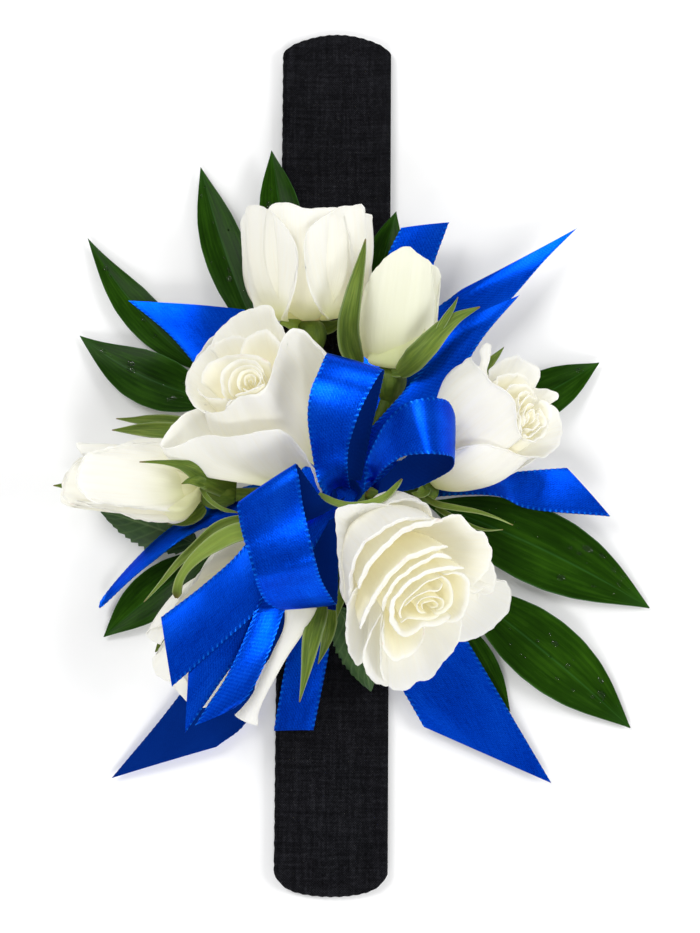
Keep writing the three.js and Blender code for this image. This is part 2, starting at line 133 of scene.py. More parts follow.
# --------------------------------------------------------------------------
# mesh helpers
# --------------------------------------------------------------------------
class Build:
    """Collects grids into one mesh; every vertex carries two uv pairs."""

    def __init__(self):
        self.v, self.f, self.a, self.b, self.n = [], [], [], [], 0

    def add(self, verts, faces, uv, uv2=None):
        verts = np.asarray(verts, float).reshape(-1, 3)
        uv = np.asarray(uv, float).reshape(-1, 2)
        uv2 = np.zeros_like(uv) if uv2 is None else np.asarray(uv2, float).reshape(-1, 2)
        self.v.append(verts)
        self.a.append(uv)
        self.b.append(uv2)
        self.f.extend([tuple(i + self.n for i in f) for f in faces])
        self.n += len(verts)

    def grid(self, P, uv, thick, uv2=None, wrap=False, uv2_back=None):
        """A closed thin solid from a surface grid P[n, m, 3]."""
        n, m = P.shape[:2]
        du = np.gradient(P, axis=0)
        if wrap:
            ext = np.concatenate([P[:, -1:], P, P[:, :1]], axis=1)
            dv = np.gradient(ext, axis=1)[:, 1:-1]
        else:
            dv = np.gradient(P, axis=1)
        N = np.cross(dv, du)
        ln = np.linalg.norm(N, axis=2, keepdims=True)
        N = N / np.maximum(ln, 1e-9)
        h = (np.asarray(thick, float) * np.ones((n, m)))[..., None] / 2
        front, back = P + N * h, P - N * h
        verts = np.concatenate([front.reshape(-1, 3), back.reshape(-1, 3)])
        k = n * m
        faces = []
        last = m if wrap else m - 1
        for i in range(n - 1):
            for j in range(last):
                a, b = i * m + j, i * m + (j + 1) % m
                c, d = (i + 1) * m + (j + 1) % m, (i + 1) * m + j
                faces.append((a, b, c, d))
                faces.append((k + d, k + c, k + b, k + a))
        rim = []
        if wrap:
            for j in range(m):
                rim.append((j, (j + 1) % m))
                rim.append(((n - 1) * m + (j + 1) % m, (n - 1) * m + j))
        else:
            rim += [(j, j + 1) for j in range(m - 1)]
            rim += [(i * m + m - 1, (i + 1) * m + m - 1) for i in range(n - 1)]
            rim += [((n - 1) * m + j + 1, (n - 1) * m + j) for j in range(m - 1)]
            rim += [((i + 1) * m, i * m) for i in range(n - 1)]
        for a, b in rim:
            faces.append((b, a, k + a, k + b))
        uv = np.asarray(uv, float).reshape(-1, 2)
        uv2 = np.zeros_like(uv) if uv2 is None else np.asarray(uv2, float).reshape(-1, 2)
        back2 = uv2 if uv2_back is None else np.asarray(uv2_back, float).reshape(-1, 2)
        self.add(verts, faces, np.concatenate([uv, uv]), np.concatenate([uv2, back2]))

    def make(self, name, materials, smooth=True, face_mat=None, sharp=True):
        me = bpy.data.meshes.new(name)
        V = np.concatenate(self.v) * MM
        me.from_pydata(V.tolist(), [], self.f)
        A, B = np.concatenate(self.a), np.concatenate(self.b)
        loops = np.zeros(len(me.loops), np.int32)
        me.loops.foreach_get("vertex_index", loops)
        for nm, data in (("UVMap", A), ("UVMore", B)):
            lay = me.uv_layers.new(name=nm)
            lay.data.foreach_set("uv", data[loops].astype(np.float32).ravel())
        me.polygons.foreach_set("use_smooth", [smooth] * len(me.polygons))
        for mt in materials if isinstance(materials, (list, tuple)) else [materials]:
            me.materials.append(mt)
        if face_mat is not None:
            me.polygons.foreach_set("material_index", face_mat)
        me.update()
        if sharp:
            me.set_sharp_from_angle(angle=math.radians(62))
        ob = bpy.data.objects.new(name, me)
        scene.collection.objects.link(ob)
        return ob


def unit(v):
    v = np.asarray(v, float)
    return v / max(np.linalg.norm(v), 1e-12)


def spline(points, knots, t):
    """Non-uniform Catmull-Rom through points at knots, sampled at t."""
    P = np.asarray(points, float)
    k = np.asarray(knots, float)
    P = np.concatenate([[2 * P[0] - P[1]], P, [2 * P[-1] - P[-2]]])
    k = np.concatenate([[2 * k[0] - k[1]], k, [2 * k[-1] - k[-2]]])
    t = np.asarray(t, float)
    i = np.clip(np.searchsorted(k, t, side="right") - 1, 1, len(k) - 3)
    t0, t1, t2, t3 = k[i - 1], k[i], k[i + 1], k[i + 2]
    p0, p1, p2, p3 = P[i - 1], P[i], P[i + 1], P[i + 2]

    def mix(a, b, ta, tb):
        return ((tb - t) / (tb - ta))[:, None] * a + ((t - ta) / (tb - ta))[:, None] * b

    a1, a2, a3 = mix(p0, p1, t0, t1), mix(p1, p2, t1, t2), mix(p2, p3, t2, t3)
    b1, b2 = mix(a1, a2, t0, t2), mix(a2, a3, t1, t3)
    return mix(b1, b2, t1, t2)


def smooth(x, a, b):
    x = np.clip((np.asarray(x, float) - a) / (b - a), 0, 1)
    return x * x * (3 - 2 * x)


# --------------------------------------------------------------------------
# node material helpers
# --------------------------------------------------------------------------
class Mat:
    def __init__(self, name):
        self.m = bpy.data.materials.new(name)
        self.m.use_nodes = True
        self.t = self.m.node_tree
        self.t.nodes.clear()
        self.out = self.t.nodes.new("ShaderNodeOutputMaterial")
        self.b = self.t.nodes.new("ShaderNodeBsdfPrincipled")
        self.t.links.new(self.b.outputs[0], self.out.inputs[0])

    def node(self, kind, **kw):
        n = self.t.nodes.new(kind)
        for k, v in kw.items():
            setattr(n, k, v)
        return n

    def put(self, socket, value):
        if isinstance(value, bpy.types.NodeSocket):
            self.t.links.new(value, socket)
        else:
            socket.default_value = value

    def set(self, **kw):
        for k, v in kw.items():
            self.put(self.b.inputs[k.replace("_", " ")], v)

    def math(self, op, a, b=0.0, c=None, clamp=False):
        n = self.node("ShaderNodeMath", operation=op, use_clamp=clamp)
        self.put(n.inputs[0], a)
        self.put(n.inputs[1], b)
        if c is not None:
            self.put(n.inputs[2], c)
        return n.outputs[0]

    def mix(self, f, a, b, blend="MIX"):
        n = self.node("ShaderNodeMix", data_type="RGBA", blend_type=blend)
        self.put(n.inputs[0], f)
        self.put(n.inputs[6], a)
        self.put(n.inputs[7], b)
        return n.outputs[2]

    def ramp(self, f, stops, mode="LINEAR"):
        n = self.node("ShaderNodeValToRGB")
        n.color_ramp.interpolation = mode
        e = n.color_ramp.elements
        while len(e) < len(stops):
            e.new(0.5)
        for el, (p, c) in zip(e, stops):
            el.position = p
            el.color = (*c, 1.0) if len(c) == 3 else c
        self.put(n.inputs[0], f)
        return n.outputs[0]

    def uv(self, name="UVMap"):
        n = self.node("ShaderNodeUVMap", uv_map=name)
        s = self.node("ShaderNodeSeparateXYZ")
        self.t.links.new(n.outputs[0], s.inputs[0])
        return n.outputs[0], s.outputs[0], s.outputs[1]

    def noise(self, vec, scale, detail=4.0, rough=0.55, dims="3D"):
        n = self.node("ShaderNodeTexNoise", noise_dimensions=dims)
        if vec is not None:
            self.t.links.new(vec, n.inputs["Vector"])
        n.inputs["Scale"].default_value = scale
        n.inputs["Detail"].default_value = detail
        n.inputs["Roughness"].default_value = rough
        return n.outputs["Fac"]

    def scaled(self, vec, sx, sy, sz=1.0):
        n = self.node("ShaderNodeMapping")
        self.t.links.new(vec, n.inputs["Vector"])
        n.inputs["Scale"].default_value = (sx, sy, sz)
        return n.outputs[0]

    def coords(self):
        return self.node("ShaderNodeTexCoord").outputs["Object"]

    def bump(self, height, strength, dist, normal=None):
        n = self.node("ShaderNodeBump")
        n.inputs["Strength"].default_value = strength
        n.inputs["Distance"].default_value = dist
        self.put(n.inputs["Height"], height)
        if normal is not None:
            self.t.links.new(normal, n.inputs["Normal"])
        return n.outputs[0]


def mat_sleeve():
    m = Mat("black_woven_sleeve")
    _, u, v = m.uv()           # millimetres round the band and along it
    k = 2 * math.pi / 0.62
    warp = m.math("SINE", m.math("MULTIPLY", u, k))
    weft = m.math("SINE", m.math("MULTIPLY", v, k))
    cell = m.math("MULTIPLY", warp, weft)
    o = m.coords()
    slub_u = m.noise(m.scaled(o, 1600, 90, 200), 1.0, 3.0)
    slub_v = m.noise(m.scaled(o, 90, 1600, 200), 1.0, 3.0)
    fuzz = m.noise(o, 1500, 3.0, 0.6)
    h = m.math("ADD", m.math("MULTIPLY", cell, 0.5), m.math("ADD", m.math("MULTIPLY", slub_u, 1.1), m.math("MULTIPLY", slub_v, 1.1)))
    h = m.math("ADD", h, m.math("MULTIPLY", fuzz, 0.5))
    tone = m.math("ADD", m.math("MULTIPLY", cell, 0.10), m.math("MULTIPLY", m.math("ADD", slub_u, slub_v), 0.30))
    tone = m.math("ADD", tone, m.math("MULTIPLY", fuzz, 0.42))
    col = m.ramp(tone, [(0.34, (0.0016, 0.0016, 0.0021)), (0.52, (0.0072, 0.0073, 0.0092)), (0.70, (0.024, 0.0243, 0.0290))])
    m.set(Base_Color=col, Roughness=0.95, Specular_IOR_Level=0.06,
          Normal=m.bump(h, 0.75, 0.00022))
    return m.m


def mat_steel():
    m = Mat("spring_steel_strip")
    o = m.coords()
    line = m.noise(m.scaled(o, 1200, 25, 200), 1.0, 3.0)
    m.set(Base_Color=m.ramp(line, [(0.3, (0.42, 0.43, 0.44)), (0.7, (0.62, 0.63, 0.64))]), Metallic=1.0,
          Roughness=m.math("MULTIPLY_ADD", line, 0.2, 0.25))
    return m.m


def mat_satin():
    m = Mat("royal_blue_satin")
    _, u, v = m.uv()           # millimetres along, and across from the middle
    _, w, e = m.uv("UVMore")   # 0 on the satin face and 1 on the dull face, distance to the nearer selvedge
    comb = m.node("ShaderNodeCombineXYZ")
    m.put(comb.inputs[0], u)
    m.put(comb.inputs[1], v)
    thread = m.noise(m.scaled(comb.outputs[0], 0.16, 5.0), 1.0, 3.0, 0.6)
    weft = m.noise(m.scaled(comb.outputs[0], 4.4, 0.35), 1.0, 2.0, 0.5)
    fleck = m.noise(m.scaled(comb.outputs[0], 2.6, 3.4), 1.0, 2.0, 0.6)
    twill = m.math("SINE", m.math("ADD", m.math("MULTIPLY", u, 6.2), m.math("MULTIPLY", v, 8.4)))
    broad = m.noise(m.scaled(comb.outputs[0], 0.05, 0.09), 1.0, 2.0)
    tone = m.math("ADD", m.math("MULTIPLY", thread, 0.38), m.math("ADD", m.math("MULTIPLY", weft, 0.24), m.math("MULTIPLY", broad, 0.30)))
    # the flecks vary the tone at random, and their lighter specks stand in for glints of the weave: painted sparkle
    tone = m.math("ADD", tone, m.math("MULTIPLY", m.math("SUBTRACT", fleck, 0.32), 0.42))
    tone = m.math("ADD", tone, m.math("MULTIPLY", twill, 0.035))
    col = m.ramp(tone, [(0.35, (0.0, 0.021, 0.34)), (0.55, (0.0, 0.064, 0.72)), (0.78, (0.007, 0.142, 0.99))])
    # selvedge: a woven edge line and small picots; the picots are raised in the bump, their lighter colour is a painted
    # highlight and the darker gaps between them painted shade
    edge = m.math("SUBTRACT", 1.0, m.math("MULTIPLY", e, 1.0 / 0.85), clamp=True)
    dots = m.math("MULTIPLY_ADD", m.math("COSINE", m.math("MULTIPLY", u, 2 * math.pi / PICOT)), 0.5, 0.5)
    lift = m.math("MULTIPLY", m.math("POWER", edge, 0.7), m.math("POWER", dots, 3.0))
    col = m.mix(m.math("MULTIPLY", lift, 0.66), col, (0.012, 0.26, 1.0, 1))
    dark = m.math("MULTIPLY", edge, m.math("SUBTRACT", 1.0, dots))
    col = m.mix(m.math("MULTIPLY", dark, 0.5), col, (0.0, 0.018, 0.28, 1))
    col = m.mix(m.math("MULTIPLY", w, 0.90), col, (0.001, 0.0105, 0.096, 1))
    h = m.math("ADD", m.math("MULTIPLY", thread, 0.6), m.math("MULTIPLY", twill, 0.05))
    h = m.math("ADD", h, m.math("MULTIPLY", fleck, 0.45))
    h = m.math("ADD", h, m.math("MULTIPLY", lift, 1.4))
    m.set(Base_Color=col, Metallic=m.math("MULTIPLY_ADD", w, -0.40, 0.80), Roughness=m.math("MULTIPLY_ADD", w, 0.28, 0.285), Specular_IOR_Level=0.1, Anisotropic=0.5,
          Normal=m.bump(h, 0.26, 0.00012))
    # painted glow: the dull face emits a faint blue light, standing in for light that comes through the thin weave onto
    # it
    m.set(Emission_Color=(0.004, 0.12, 1.0, 1), Emission_Strength=m.math("MULTIPLY", w, 0.035))
    m.b.inputs["Specular Tint"].default_value = (0.05, 0.45, 1.0, 1.0)
    tan = m.node("ShaderNodeTangent", direction_type="UV_MAP", uv_map="UVMap")
    m.t.links.new(tan.outputs[0], m.b.inputs["Tangent"])
    return m.m


def mat_petal(name="white_rose_petal", cast=0.0):
    """White petal; cast is how much of the bud's pale green is left in it."""
    m = Mat(name)
    uvv, u, t = m.uv()         # across -1..1, base to rim 0..1
    _, q, r = m.uv("UVMore")   # inner 0 .. outer 1, per-petal random
    comb = m.node("ShaderNodeCombineXYZ")
    m.put(comb.inputs[0], u)
    m.put(comb.inputs[1], t)
    m.put(comb.inputs[2], m.math("MULTIPLY", r, 37.0))
    vein = m.noise(m.scaled(comb.outputs[0], 26.0, 2.2), 1.0, 3.0, 0.6)
    cloud = m.noise(m.scaled(comb.outputs[0], 2.0, 2.2), 1.0, 3.0)
    outer = m.ramp(t, [(0.0, (0.60, 0.68, 0.30)), (0.13, (0.80, 0.835, 0.50)), (0.30, (0.895, 0.90, 0.745)), (0.48, (0.918, 0.918, 0.865)), (0.75, (0.928, 0.926, 0.896)), (1.0, (0.932, 0.930, 0.908))])
    # inner petals turn cream-yellow towards their base: partly the heart's own colour, partly painted warm light in the
    # crevices between petals
    inner = m.ramp(t, [(0.0, (0.86, 0.70, 0.20)), (0.60, (0.92, 0.85, 0.47)), (0.80, (0.93, 0.88, 0.56)), (0.89, (0.934, 0.90, 0.67)), (0.935, (0.935, 0.917, 0.79)), (0.957, (0.935, 0.928, 0.87)), (1.0, (0.935, 0.93, 0.89))])
    col = m.mix(m.math("POWER", q, 0.8), inner, outer)
    col = m.mix(m.math("MULTIPLY", m.math("SUBTRACT", cloud, 0.45, clamp=True), 0.5), col, (0.84, 0.82, 0.66, 1))
    col = m.mix(m.math("MULTIPLY", m.math("SUBTRACT", vein, 0.45, clamp=True), 0.80), col, (0.78, 0.76, 0.62, 1))
    if cast:
        young = m.ramp(t, [(0.0, (0.62, 0.74, 0.30)), (0.45, (0.80, 0.86, 0.56)), (1.0, (0.88, 0.90, 0.68))])
        col = m.mix(cast, col, young)
    # faint pink and brown marks on the oldest rims
    fleck = m.noise(m.scaled(comb.outputs[0], 3.3, 9.0), 1.0, 2.0)
    rim = m.math("MULTIPLY", m.math("SUBTRACT", t, 0.955, clamp=True), 22.0, clamp=True)
    mark = m.math("MULTIPLY", m.math("MULTIPLY", m.math("SUBTRACT", fleck, 0.60, clamp=True), 7.0, clamp=True), rim)
    col = m.mix(m.math("MULTIPLY", mark, 0.5), col, (0.66, 0.40, 0.28, 1))
    nor = m.bump(m.math("ADD", m.math("MULTIPLY", vein, 0.7), cloud), 0.34, 0.00034)
    # painted glow: the petals emit a faint warm light, a little more on inner petals and warmer towards the base,
    # standing in for light scattered inside them that lifts their shade
    m.set(Base_Color=col, Roughness=0.62, Specular_IOR_Level=0.2, Sheen_Weight=0.05, Sheen_Roughness=0.5,
          Subsurface_Weight=0.25, Subsurface_Scale=0.0025, Normal=nor,
          Emission_Color=m.mix(t, (1.0, 0.90, 0.52, 1), (1.0, 0.97, 0.90, 1)), Emission_Strength=m.math("MULTIPLY_ADD", m.math("SUBTRACT", 1.0, q), 0.02, 0.115))
    m.b.inputs["Subsurface Radius"].default_value = (1.0, 0.93, 0.75)
    # a petal is thin: part of the light comes through, warmer than what it reflects
    thru = m.node("ShaderNodeBsdfTranslucent")
    m.put(thru.inputs[0], m.mix(0.5, col, (0.97, 0.97, 0.91, 1)))
    m.t.links.new(nor, thru.inputs["Normal"])
    mixs = m.node("ShaderNodeMixShader")
    mixs.inputs[0].default_value = 0.30
    m.t.links.new(m.b.outputs[0], mixs.inputs[1])
    m.t.links.new(thru.outputs[0], mixs.inputs[2])
    m.t.links.new(mixs.outputs[0], m.out.inputs[0])
    return m.m


def mat_ruscus():
    m = Mat("glossy_ruscus_leaf")
    _, u, t = m.uv()
    _, r, _ = m.uv("UVMore")
    comb = m.node("ShaderNodeCombineXYZ")
    m.put(comb.inputs[0], u)
    m.put(comb.inputs[1], t)
    m.put(comb.inputs[2], m.math("MULTIPLY", r, 41.0))
    vein = m.math("MULTIPLY_ADD", m.math("SINE", m.math("MULTIPLY", u, 34.0)), 0.5, 0.5)
    fine = m.noise(m.scaled(comb.outputs[0], 30.0, 3.0), 1.0, 3.0)
    cloud = m.noise(m.scaled(comb.outputs[0], 2.2, 3.4), 1.0, 4.0)
    tone = m.math("ADD", m.math("MULTIPLY", vein, 0.07), m.math("ADD", m.math("MULTIPLY", fine, 0.30), m.math("MULTIPLY", cloud, 0.66)))
    col = m.ramp(tone, [(0.30, (0.0046, 0.020, 0.0006)), (0.52, (0.0112, 0.044, 0.0012)), (0.72, (0.025, 0.084, 0.0028))])
    mid = m.math("SUBTRACT", 1.0, m.math("MULTIPLY", m.math("ABSOLUTE", u), 22.0), clamp=True)
    col = m.mix(m.math("MULTIPLY", mid, 0.35), col, (0.035, 0.13, 0.03, 1))
    edge = m.math("MULTIPLY", m.math("SUBTRACT", m.math("ABSOLUTE", u), 0.955, clamp=True), 22.0, clamp=True)
    col = m.mix(m.math("MULTIPLY", edge, 0.6), col, (0.06, 0.16, 0.05, 1))
    tip = m.math("MULTIPLY", m.math("SUBTRACT", t, 0.86, clamp=True), 6.0, clamp=True)
    col = m.mix(m.math("MULTIPLY", tip, 0.45), col, (0.030, 0.105, 0.016, 1))
    h = m.math("ADD", m.math("MULTIPLY", vein, 0.25), m.math("MULTIPLY", fine, 0.6))
    m.set(Base_Color=col, Roughness=m.math("MULTIPLY_ADD", cloud, 0.24, 0.15), Specular_IOR_Level=0.05,
          Normal=m.bump(h, 0.16, 0.00012))
    return m.m


def mat_rose_leaf():
    m = Mat("rose_leaf_green")
    _, u, t = m.uv()
    _, r, _ = m.uv("UVMore")
    comb = m.node("ShaderNodeCombineXYZ")
    m.put(comb.inputs[0], u)
    m.put(comb.inputs[1], t)
    m.put(comb.inputs[2], m.math("MULTIPLY", r, 29.0))
    au = m.math("ABSOLUTE", u)
    side = m.math("SINE", m.math("MULTIPLY", m.math("SUBTRACT", t, m.math("MULTIPLY", au, 0.22)), 52.0))
    side = m.math("POWER", m.math("MULTIPLY_ADD", side, 0.5, 0.5), 6.0)
    cloud = m.noise(m.scaled(comb.outputs[0], 3.0, 4.0), 1.0, 4.0)
    col = m.ramp(cloud, [(0.3, (0.012, 0.045, 0.010)), (0.55, (0.030, 0.085, 0.018)), (0.75, (0.060, 0.130, 0.030))])
    col = m.mix(m.math("MULTIPLY", side, 0.35), col, (0.10, 0.18, 0.06, 1))
    mid = m.math("SUBTRACT", 1.0, m.math("MULTIPLY", au, 14.0), clamp=True)
    col = m.mix(m.math("MULTIPLY", mid, 0.6), col, (0.14, 0.22, 0.08, 1))
    h = m.math("ADD", m.math("MULTIPLY", side, -0.8), m.math("MULTIPLY", cloud, 0.5))
    m.set(Base_Color=col, Roughness=0.45, Specular_IOR_Level=0.45, Normal=m.bump(h, 0.4, 0.0003))
    return m.m


def mat_calyx():
    m = Mat("green_calyx")
    _, u, t = m.uv()
    _, q, r = m.uv("UVMore")
    comb = m.node("ShaderNodeCombineXYZ")
    m.put(comb.inputs[0], u)
    m.put(comb.inputs[1], t)
    m.put(comb.inputs[2], m.math("MULTIPLY", r, 23.0))
    streak = m.noise(m.scaled(comb.outputs[0], 3.2, 2.6), 1.0, 5.0, 0.65)
    speck = m.noise(m.scaled(comb.outputs[0], 30.0, 30.0), 1.0, 2.0)
    col = m.ramp(streak, [(0.25, (0.040, 0.078, 0.006)), (0.5, (0.100, 0.165, 0.014)), (0.75, (0.200, 0.275, 0.035))])
    # q above 0.5 marks a pale, downy sepal
    col = m.mix(m.math("MULTIPLY", m.math("SUBTRACT", q, 0.5, clamp=True), 1.2), col, (0.37, 0.50, 0.085, 1))
    rim = m.math("MULTIPLY", m.math("SUBTRACT", m.math("ABSOLUTE", u), 0.80, clamp=True), 4.0, clamp=True)
    col = m.mix(m.math("MULTIPLY", rim, 0.5), col, (0.42, 0.52, 0.26, 1))
    tipb = m.math("MULTIPLY", m.math("SUBTRACT", t, 0.93, clamp=True), 12.0, clamp=True)
    col = m.mix(m.math("MULTIPLY", tipb, 0.75), col, (0.20, 0.07, 0.03, 1))
    m.set(Base_Color=col, Roughness=0.5, Specular_IOR_Level=0.25, Subsurface_Weight=0.08, Subsurface_Scale=0.001,
          Sheen_Weight=0.03, Normal=m.bump(m.math("ADD", streak, m.math("MULTIPLY", speck, 0.4)), 0.3, 0.0003))
    return m.m


def mat_tape():
    m = Mat("green_stem_tape")
    _, u, v = m.uv()
    o = m.coords()
    crepe = m.noise(m.scaled(o, 300, 300, 2200), 1.0, 4.0)
    wrap = m.math("FRACT", m.math("ADD", m.math("MULTIPLY", v, 0.22), u))
    col = m.ramp(crepe, [(0.3, (0.05, 0.11, 0.025)), (0.7, (0.14, 0.24, 0.06))])
    m.set(Base_Color=col, Roughness=0.7, Specular_IOR_Level=0.3,
          Normal=m.bump(m.math("ADD", crepe, m.math("MULTIPLY", wrap, 0.6)), 0.5, 0.0005))
    return m.m


def mat_felt():
    m = Mat("dark_green_felt")
    o = m.coords()
    f = m.noise(o, 1300, 6.0, 0.7)
    m.set(Base_Color=m.ramp(f, [(0.3, (0.010, 0.016, 0.010)), (0.7, (0.03, 0.045, 0.03))]), Roughness=0.95,
          Sheen_Weight=0.25, Specular_IOR_Level=0.15, Normal=m.bump(f, 0.8, 0.0005))
    return m.m


def mat_water():
    m = Mat("water_drop")
    o = m.coords()
    f = m.noise(o, 900, 2.0)
    m.set(Base_Color=(1, 1, 1, 1), Roughness=0.02, IOR=1.33, Transmission_Weight=1.0, Normal=m.bump(f, 0.05, 0.0002))
    return m.m


def mat_floor():
    m = Mat("pale_floor")
    o = m.coords()
    f = m.noise(o, 6.0, 3.0)
    m.set(Base_Color=m.ramp(f, [(0.3, (0.885, 0.887, 0.892)), (0.7, (0.900, 0.902, 0.906))]), Roughness=0.75, Specular_IOR_Level=0.15)
    m.b.inputs["Emission Color"].default_value = (1, 1, 1, 1)
    m.b.inputs["Emission Strength"].default_value = 0.10
    return m.m


# --------------------------------------------------------------------------
# band
# --------------------------------------------------------------------------
HALF_LEN, HALF_W, THICK = 114.3, 14.3, 2.0
# how far each end falls away to its corners: the even part, and the part at the very corner
SAG = ((2.6, 3.2), (4.2, 1.5))
FLAT, RISE = 8.0, 1.4
CENTRE, GAPH, ARMS = 20.0, 0.3, 5
SEG = (HALF_LEN - CENTRE - ARMS * GAPH) / ARMS


def under(x):
    t = np.maximum(0, (np.abs(x) - FLAT) / (HALF_W - FLAT))
    return RISE * t ** 1.3


def band_loop(half, zlo, zhi, n=44, edge=0.95):
    """Section of the band as a closed loop of (x, z) from the middle of the top, clockwise seen along +Y, with its running length."""
    mid, r = (zlo + zhi) / 2, (zhi - zlo) / 2
    xs = np.linspace(-half + r * edge, half - r * edge, n)
    top = [(x, under(x) + zhi) for x in xs]
    ang = np.linspace(math.pi / 2, -math.pi / 2, 8)[1:-1]
    right = [(half - r * edge + r * edge * math.cos(a), under(half - 0.5) + mid + r * math.sin(a)) for a in ang]
    bot = [(x, under(x) + zlo) for x in xs[::-1]]
    left = [(-p[0], p[1]) for p in right[::-1]]
    L = np.array(top + right + bot + left)
    d = np.linalg.norm(np.diff(np.concatenate([L, L[:1]]), axis=0), axis=1)
    return L, np.concatenate([[0], np.cumsum(d)[:-1]])


def band_piece(name, y0, y1, material, kind, round_end=0, tuck=0):
    """One stretch of the sleeve (or of the strip in it) from y0 to y1; a rounded end is sewn flat, and a tucked end runs a little way inside the next stretch."""
    half, zlo, zhi = (HALF_W, 0.0, THICK) if kind == "sleeve" else (HALF_W - 1.3, 0.8, 1.2)
    L, s = band_loop(half, zlo, zhi, edge=0.95 if kind == "sleeve" else 0.5)
    wall = 0.4 if kind == "sleeve" else 0.12
    rows = max(3, int(abs(y1 - y0) / (1.0 if round_end else 1.2)))
    ts = list(np.linspace(0, 1, rows))
    slim = [0.0] * rows
    if tuck:
        d = 1.0 / abs(y1 - y0)
        lip = [1 + 0.02 * d, 1 + 0.9 * d, 1 + 1.8 * d]
        ts = ts + lip if tuck > 0 else [1 - a for a in lip[::-1]] + ts
        slim = slim + [0.035] * 3 if tuck > 0 else [0.035] * 3 + slim
        rows += 3
    inset = 0.0 if kind == "sleeve" else 1.6
    P = np.zeros((rows, len(L), 3))
    UV = np.zeros((rows, len(L), 2))
    mid = (zlo + zhi) / 2
    for i, t in enumerate(ts):
        y = y0 + (y1 - y0) * t
        z = L[:, 1].copy()
        x = L[:, 0].copy()
        if slim[i]:
            m = under(x) + mid
            z = m + (z - m) * (1 - slim[i] / (zhi - mid))
            x = x * (1 - slim[i] / half)
        if round_end:
            e = t if round_end > 0 else 1 - t
            even, corner = SAG[round_end > 0]
            sag = (even + inset) * (x / half) ** 2 + corner * (x / half) ** 8 + inset
            y = y - round_end * sag * e
            pinch = smooth(e, 0.80, 1.0) if kind == "sleeve" else 0
            m = under(x) + mid
            z = m + (z - m) * (1 - 0.62 * pinch)
        if kind == "sleeve":
            # the overlock pulls the left edge and the ends into small scallops
            left = smooth(-x, half - 1.6, half - 0.1)
            x = x - 0.09 * left * np.cos(2 * math.pi * y / 2.15)
            z = z + 0.05 * np.sin(y * 0.23 + x * 0.31) * (z > mid + under(x))
            if round_end:
                ee = smooth(e, 0.93, 1.0)
                y = y + round_end * 0.10 * ee * np.cos(2 * math.pi * x / 2.3)
        P[i, :, 0], P[i, :, 1], P[i, :, 2] = x, y, z
        UV[i, :, 0], UV[i, :, 1] = s, np.broadcast_to(y, s.shape)
    b = Build()
    b.grid(P, UV, wall, wrap=True)
    if round_end and kind == "sleeve":
        # close the sewn end
        i = rows - 1 if round_end > 0 else 0
        ring = P[i]
        c = np.stack([ring, np.stack([ring[:, 0], ring[:, 1] + round_end * 0.05, under(ring[:, 0]) + mid], axis=1)])
        if round_end < 0:
            c = c[::-1]
        b.grid(c, np.stack([UV[i], UV[i]]), 0.12, wrap=True)
    return b.make(name, material)


def make_band(M):
    sleeve, steel = M["sleeve"], M["steel"]
    for kind, mat, slot in (("sleeve", sleeve, "sleeve_fabric"), ("strip", steel, "spring_steel")):
        mids = [0.0] + [CENTRE + GAPH + SEG / 2 + k * (SEG + GAPH) for k in range(ARMS)]
        hinges = [CENTRE + GAPH / 2 + k * (SEG + GAPH) for k in range(ARMS)]
        flat0 = CENTRE - (SEG + GAPH) / 2
        c = band_piece(f"{kind}_middle", -flat0, flat0, mat, kind)
        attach(c, ROOT)
        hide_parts(f"{kind}_centre")
        for arm, s in (("upper", 1), ("lower", -1)):
            for k in range(ARMS):
                a = flat0 if k == 0 else mids[k]
                z = mids[k + 1]
                lo, hi = (a, z) if s > 0 else (-z, -a)
                p = band_piece(f"{kind}_{arm}_bend_{k + 1}", lo, hi, mat, kind, tuck=s if k + 1 < ARMS else 0)
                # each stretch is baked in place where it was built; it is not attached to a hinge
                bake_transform(p)
                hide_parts(f"{kind}_{arm}_{k + 1}")
            lo, hi = (mids[ARMS], HALF_LEN) if s > 0 else (-HALF_LEN, -mids[ARMS])
            e = band_piece(f"{kind}_{arm}_end", lo, hi, mat, kind, round_end=s)
            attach(e, f"{arm}_{ARMS}")
            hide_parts(f"{kind}_{arm}_{ARMS}")
        if kind == "sleeve":
            L, s = band_loop(HALF_W, 0, THICK)


